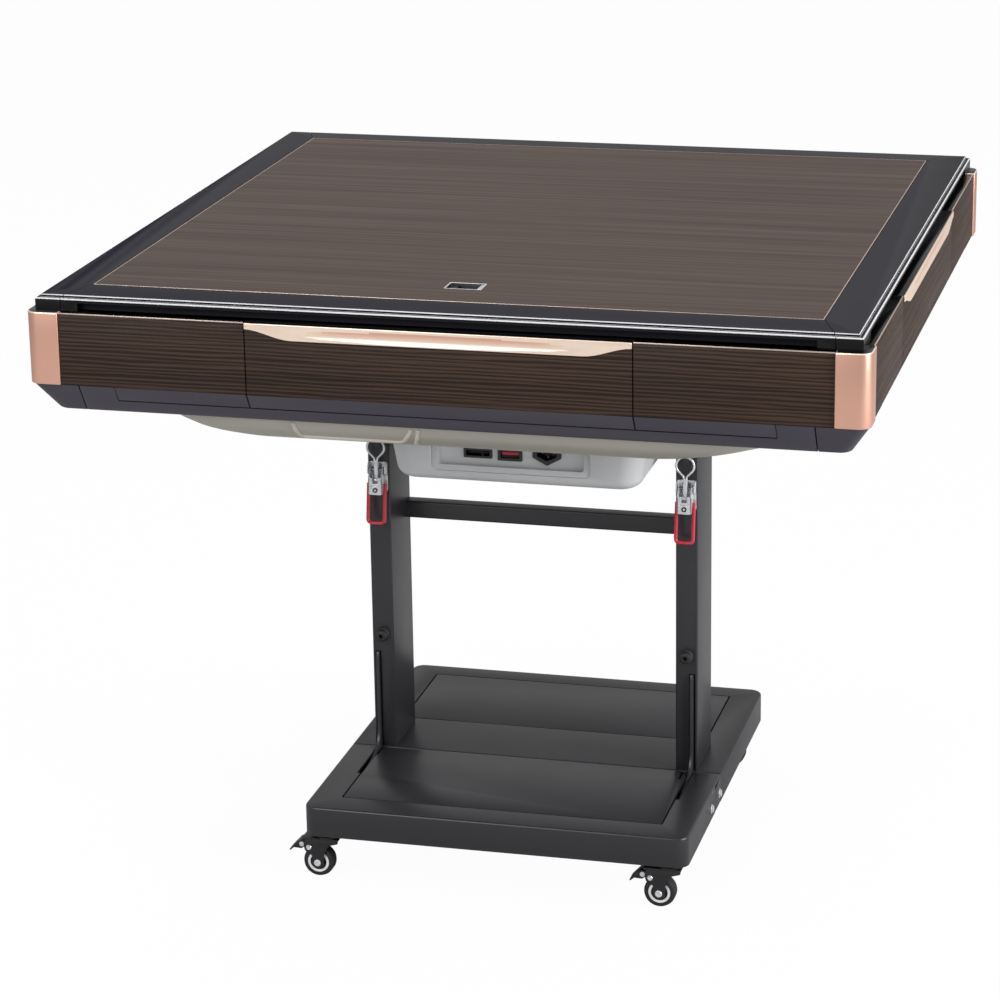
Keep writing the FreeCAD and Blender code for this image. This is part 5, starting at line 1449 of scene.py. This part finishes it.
class TABLE_OT_hangers(bpy.types.Operator):
    """Side hangers on the tilting pins, their brackets on the columns, and the keepers of the latches."""

    bl_idname = "table.hangers"
    bl_label = "Hangers and tilting joint"

    def execute(self, context):
        low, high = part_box("hangers_and_keepers")
        made = self.make_hanger(high), self.make_keeper(low.z, high.z), self.make_bracket(), self.make_joint()
        for hand, sign in HANDS:
            mirrored, beside = {"flip": sign < 0}, {"shift": (sign * LATCH_X, 0, 0)}
            for part, name, where_to, body, node in zip(
                made,
                ("hanger", "keeper", "tilt_bracket", "tilt_pin"),
                (mirrored, beside, beside, mirrored),
                ("machine", "machine", "stand", "stand"),
                ("hangers_and_keepers", "hangers_and_keepers", "tilt_brackets", "tilt_brackets"),
            ):
                place_piece(copied(part, f"{name}_{hand}", **where_to), body, "powder_black", node)
        discard(*made)
        return {"FINISHED"}

    def make_hanger(self, high):
        """Ear round the tilting pin under a bolted flange, with a rib between them."""
        front, flange_low = 0.048, high.z - 0.005
        ear = [(front, high.z)] + arc_points(TILT_PIN, 0.017, 180, 360, 12) + [(high.y, high.z)]
        rib = [(0.2175, 0.560), (0.2175, 0.6012), (0.240, 0.6012)]
        parts = [
            extruded("ear", "x", ear, (0.213, 0.218)),
            block("flange", (0.2135, high.x), (front, high.y), (flange_low, high.z)),
            extruded("rib", "y", rib, (0.0625, 0.0675)),
        ]
        parts = [dressed(part, "powder", 0.0006) for part in parts]
        for y in (0.055, 0.075):
            bolt = round_bar("bolt", "z", (0.233, y), (high.z - 0.0085, flange_low), 0.0042, 6)
            parts.append(dressed(bolt, "zinc", 0.0004))
        return joined("hanger_made", *parts)

    def make_joint(self):
        pin = round_bar("pin", "x", TILT_PIN, (0.2095, 0.2182), 0.0059, 28)
        washer = round_bar("washer", "x", TILT_PIN, (0.218, 0.2184), 0.0095)
        return joined("joint_made", paint(pin, "steel"), paint(washer, "zinc"))

    def make_keeper(self, low, high):
        """Tapered strap down the tub's front whose foot the ring of the latch holds."""
        edge = [(0.0030, low), (0.0052, 0.506), (0.006, 0.520), (0.006, high)]
        outline = [(-x, z) for x, z in reversed(edge)] + edge
        strap = dressed(extruded("strap", "y", outline, (-0.0618, -0.0592)), "powder", 0.0006)
        bead = block("bead", about(0, 0.0014), (-0.0596, -0.0592), (0.512, 0.596))
        return joined("keeper_made", strap, paint(bead, "powder"))

    def make_bracket(self):
        """Plate on the column's back, rounded about the pin."""
        front, (_, height) = 0.0352, TILT_PIN
        curve = arc_points(TILT_PIN, 0.0158, -90, 90, 14)
        outline = [(front, height - 0.0155), *curve, (front, height + 0.0155)]
        return dressed(extruded("bracket", "x", outline, about(0, 0.006)), "powder", 0.0008)


class TABLE_OT_field(bpy.types.Operator):
    """Felt playing surface under the cover, with its four tile lifts."""

    bl_idname = "table.field"
    bl_label = "Playing surface"

    def execute(self, context):
        low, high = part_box("playing_surface")
        far, reach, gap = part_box("tile_lifts")[1].x, 0.200, 0.0003
        near, height, through = far - 0.044, (low.z, high.z), past(low.z, high.z)
        board = block("playing_board", about(0, high.x), about(0, high.x), height)
        carve_round(board, block("slot", about(0, reach + gap), (-far - gap, -near + gap), through))
        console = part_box("centre_console")[1].x + 0.0005
        carve(board, round_bar("hole", "z", (0, 0), through, console, 64))
        dressed(board, "black plastic", 0.0005)
        place_piece(paint(board, "felt", faces(UP)), "machine", "felt", "playing_surface")
        lift = block("lift", about(0, reach), (-far, -near), height)
        round_edges(lift, along_edges("z"), 0.0012, 3)
        paint(soften(lift, 0.0007, 3, 50), "black plastic")
        paint(lift, "felt", faces(UP))
        for side, quarter in SIDES:
            place_piece(copied(lift, f"lift_plate_{side}", quarter), "tile_lifts", "felt", "tile_lifts")
        discard(lift)
        return {"FINISHED"}


class TABLE_OT_console(bpy.types.Operator):
    """Round centre console with a stepped rim, and the clear dome of the dice well."""

    bl_idname = "table.console"
    bl_label = "Centre console"

    def execute(self, context):
        low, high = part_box("centre_console")
        radius, well, top = high.x, 0.040, high.z
        outline = [
            (0.0, low.z), (radius - 0.004, low.z), (radius, low.z + 0.004), (radius, top - 0.0026),
            (radius - 0.0008, top - 0.0008), (radius - 0.0026, top), (0.0640, top), (0.0632, top - 0.0010),
            (0.0608, top - 0.0010), (0.0600, top), (0.0416, top), (0.0404, top - 0.0006),
            (well, top - 0.0018), (well, top - 0.015), (0.0, top - 0.015),
        ]
        console = spun("console_body", "z", outline, (0, 0), 72)
        place_piece(paint(console, "black plastic"), "machine", "black_plastic", "centre_console")
        (_, edge), _, (foot, crown) = spans("dice_dome")
        dome = [(0.0, crown), (edge * 0.8, crown), (edge, crown - 0.006), (edge, foot)]
        shell = spun("dome_shell", "z", [*eased_pairs(dome, 0.03, 8, loop=False), (0.0, foot)], (0, 0), 72)
        place_piece(paint(shell, "clear"), "machine", "clear", "dice_dome")
        return {"FINISHED"}


class TABLE_OT_machinery(bpy.types.Operator):
    """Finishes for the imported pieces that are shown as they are, inside the machine."""

    bl_idname = "table.machinery"
    bl_label = "Machinery"

    def execute(self, context):
        for node, finish in (
            ("machine_frame", "steel"), ("shuffle_drum", "black plastic"), ("drum_motor", "steel"),
            ("tile_conveyors", "rubber"), ("circuit_board", "board"),
        ):
            thing = paint(frame["nodes"][node], finish)
            thing.modifiers.new("closed seams", "WELD").merge_threshold = 0.00001
            bevel = thing.modifiers.new("soft edges", "BEVEL")
            bevel.width, bevel.segments = 0.0008, 2
            bevel.limit_method, bevel.angle_limit = "ANGLE", math.radians(35)
        return {"FINISHED"}


class TABLE_OT_stage(bpy.types.Operator):
    """Pale floor, soft light and the camera."""

    bl_idname = "table.stage"
    bl_label = "Stage"

    def execute(self, context):
        floor = settle(sheet(context.scene.table_sizes.floor_reach * 2, (0, 0, 0)), "floor")
        floor.data.materials.append(self.floor_finish())
        self.light_world(context.scene)
        self.add_lamp("key lamp", (3.8, -0.9, 1.7), (0, 0, 0.4), 2.0, 170)
        self.add_lamp("front lamp", (-1.6, -3.4, 2.5), (0, 0, 0.4), 2.0, 85)
        self.add_lamp("top lamp", (-0.4, 0.6, 3.8), (0, 0, 0.7), 2.4, 50)
        self.add_camera(context.scene)
        context.scene.view_settings.view_transform = "Standard"
        return {"FINISHED"}

    def floor_finish(self):
        """White to the camera, with the table's soft shadow kept."""
        made = Finish("pale floor", Base_Color=(0.5, 0.5, 0.5), Roughness=0.9)
        glow = {"Color": (1.0, 1.0, 1.0), "Strength": 1.02}
        light = made.node("ShaderNodeEmission", None, glow, "Emission")
        seen = made.node("ShaderNodeLightPath", output="Is Camera Ray")
        plain = Wire(made, made.shader.outputs["BSDF"])
        mix = made.node("ShaderNodeMixShader", None, {0: seen * 0.95, 1: plain, 2: light})
        made.join(made.tree.nodes["Material Output"].inputs["Surface"], mix)
        return made.material

    def light_world(self, scene):
        """White for the camera and clear plastic, and a plainer level on the table."""
        world = scene.world = bpy.data.worlds.new("studio")
        world.use_nodes = True
        tree = world.node_tree
        backdrop = tree.nodes["Background"]
        backdrop.inputs["Color"].default_value = (1, 1, 1, 1)
        path, larger, level = (
            tree.nodes.new(f"ShaderNode{kind}") for kind in ("LightPath", "Math", "MapRange")
        )
        larger.operation = "MAXIMUM"
        for index, ray in enumerate(("Is Camera Ray", "Is Transmission Ray")):
            tree.links.new(path.outputs[ray], larger.inputs[index])
        tree.links.new(larger.outputs[0], level.inputs["Value"])
        level.inputs["To Min"].default_value = 0.45
        level.inputs["To Max"].default_value = 1.0
        tree.links.new(level.outputs[0], backdrop.inputs["Strength"])

    def add_lamp(self, name, place, target, size, power):
        clear_selection()
        bpy.ops.object.light_add(type="AREA", location=place)
        lamp = bpy.context.object
        lamp.name = name
        lamp.data.shape = "RECTANGLE"
        lamp.data.size = lamp.data.size_y = size
        lamp.data.energy = power
        lamp.rotation_euler = (Vector(target) - Vector(place)).to_track_quat("-Z", "Y").to_euler()

    def add_camera(self, scene):
        """Camera at the viewing angle of the photograph."""
        azimuth, elevation, roll = (math.radians(angle) for angle in (14.62, 17.62, -0.91))
        level = Vector((math.cos(azimuth), math.sin(azimuth), 0))
        flat = Vector((math.sin(azimuth), -math.cos(azimuth), 0))
        back = flat * math.cos(elevation) + Vector(UP) * math.sin(elevation)
        above = back.cross(level)
        right = level * math.cos(roll) + above * math.sin(roll)
        up = above * math.cos(roll) - level * math.sin(roll)
        bpy.ops.object.camera_add(location=(0.9720, -3.9347, 1.7115))
        camera = scene.camera = bpy.context.object
        camera.rotation_mode = "QUATERNION"
        camera.rotation_quaternion = Matrix((right, up, back)).transposed().to_quaternion()
        camera.data.lens, camera.data.sensor_width = 122.1, 36


OPERATORS = (
    TABLE_OT_finishes, TABLE_OT_frame, TABLE_OT_cover, TABLE_OT_corners, TABLE_OT_sides, TABLE_OT_drawers,
    TABLE_OT_skirt, TABLE_OT_bottom, TABLE_OT_controls, TABLE_OT_columns, TABLE_OT_base, TABLE_OT_casters,
    TABLE_OT_latches, TABLE_OT_hangers, TABLE_OT_field, TABLE_OT_console, TABLE_OT_machinery, TABLE_OT_stage,
)


class TABLE_PT_parts(bpy.types.Panel):
    """The table's pieces, sizes and colours."""

    bl_idname = "TABLE_PT_parts"
    bl_label = "Automatic mahjong table"
    bl_space_type = "VIEW_3D"
    bl_region_type = "UI"
    bl_category = "Table"

    def draw(self, context):
        for operator in OPERATORS:
            self.layout.operator(operator.bl_idname)
        for group in (context.scene.table_sizes, context.scene.table_colours):
            for name in group.__annotations__:
                self.layout.prop(group, name)


CLASSES = (TableSizes, TableColours, *OPERATORS, TABLE_PT_parts)


def register():
    for made in CLASSES:
        bpy.utils.register_class(made)
    bpy.types.Scene.table_sizes = PointerProperty(type=TableSizes)
    bpy.types.Scene.table_colours = PointerProperty(type=TableColours)


def unregister():
    del bpy.types.Scene.table_colours
    del bpy.types.Scene.table_sizes
    for made in reversed(CLASSES):
        bpy.utils.unregister_class(made)


def main():
    """Build the table in order."""
    register()
    for operator in OPERATORS:
        group, name = operator.bl_idname.split(".")
        getattr(getattr(bpy.ops, group), name)()
    clear_selection()


if __name__ == "__main__":
    main()
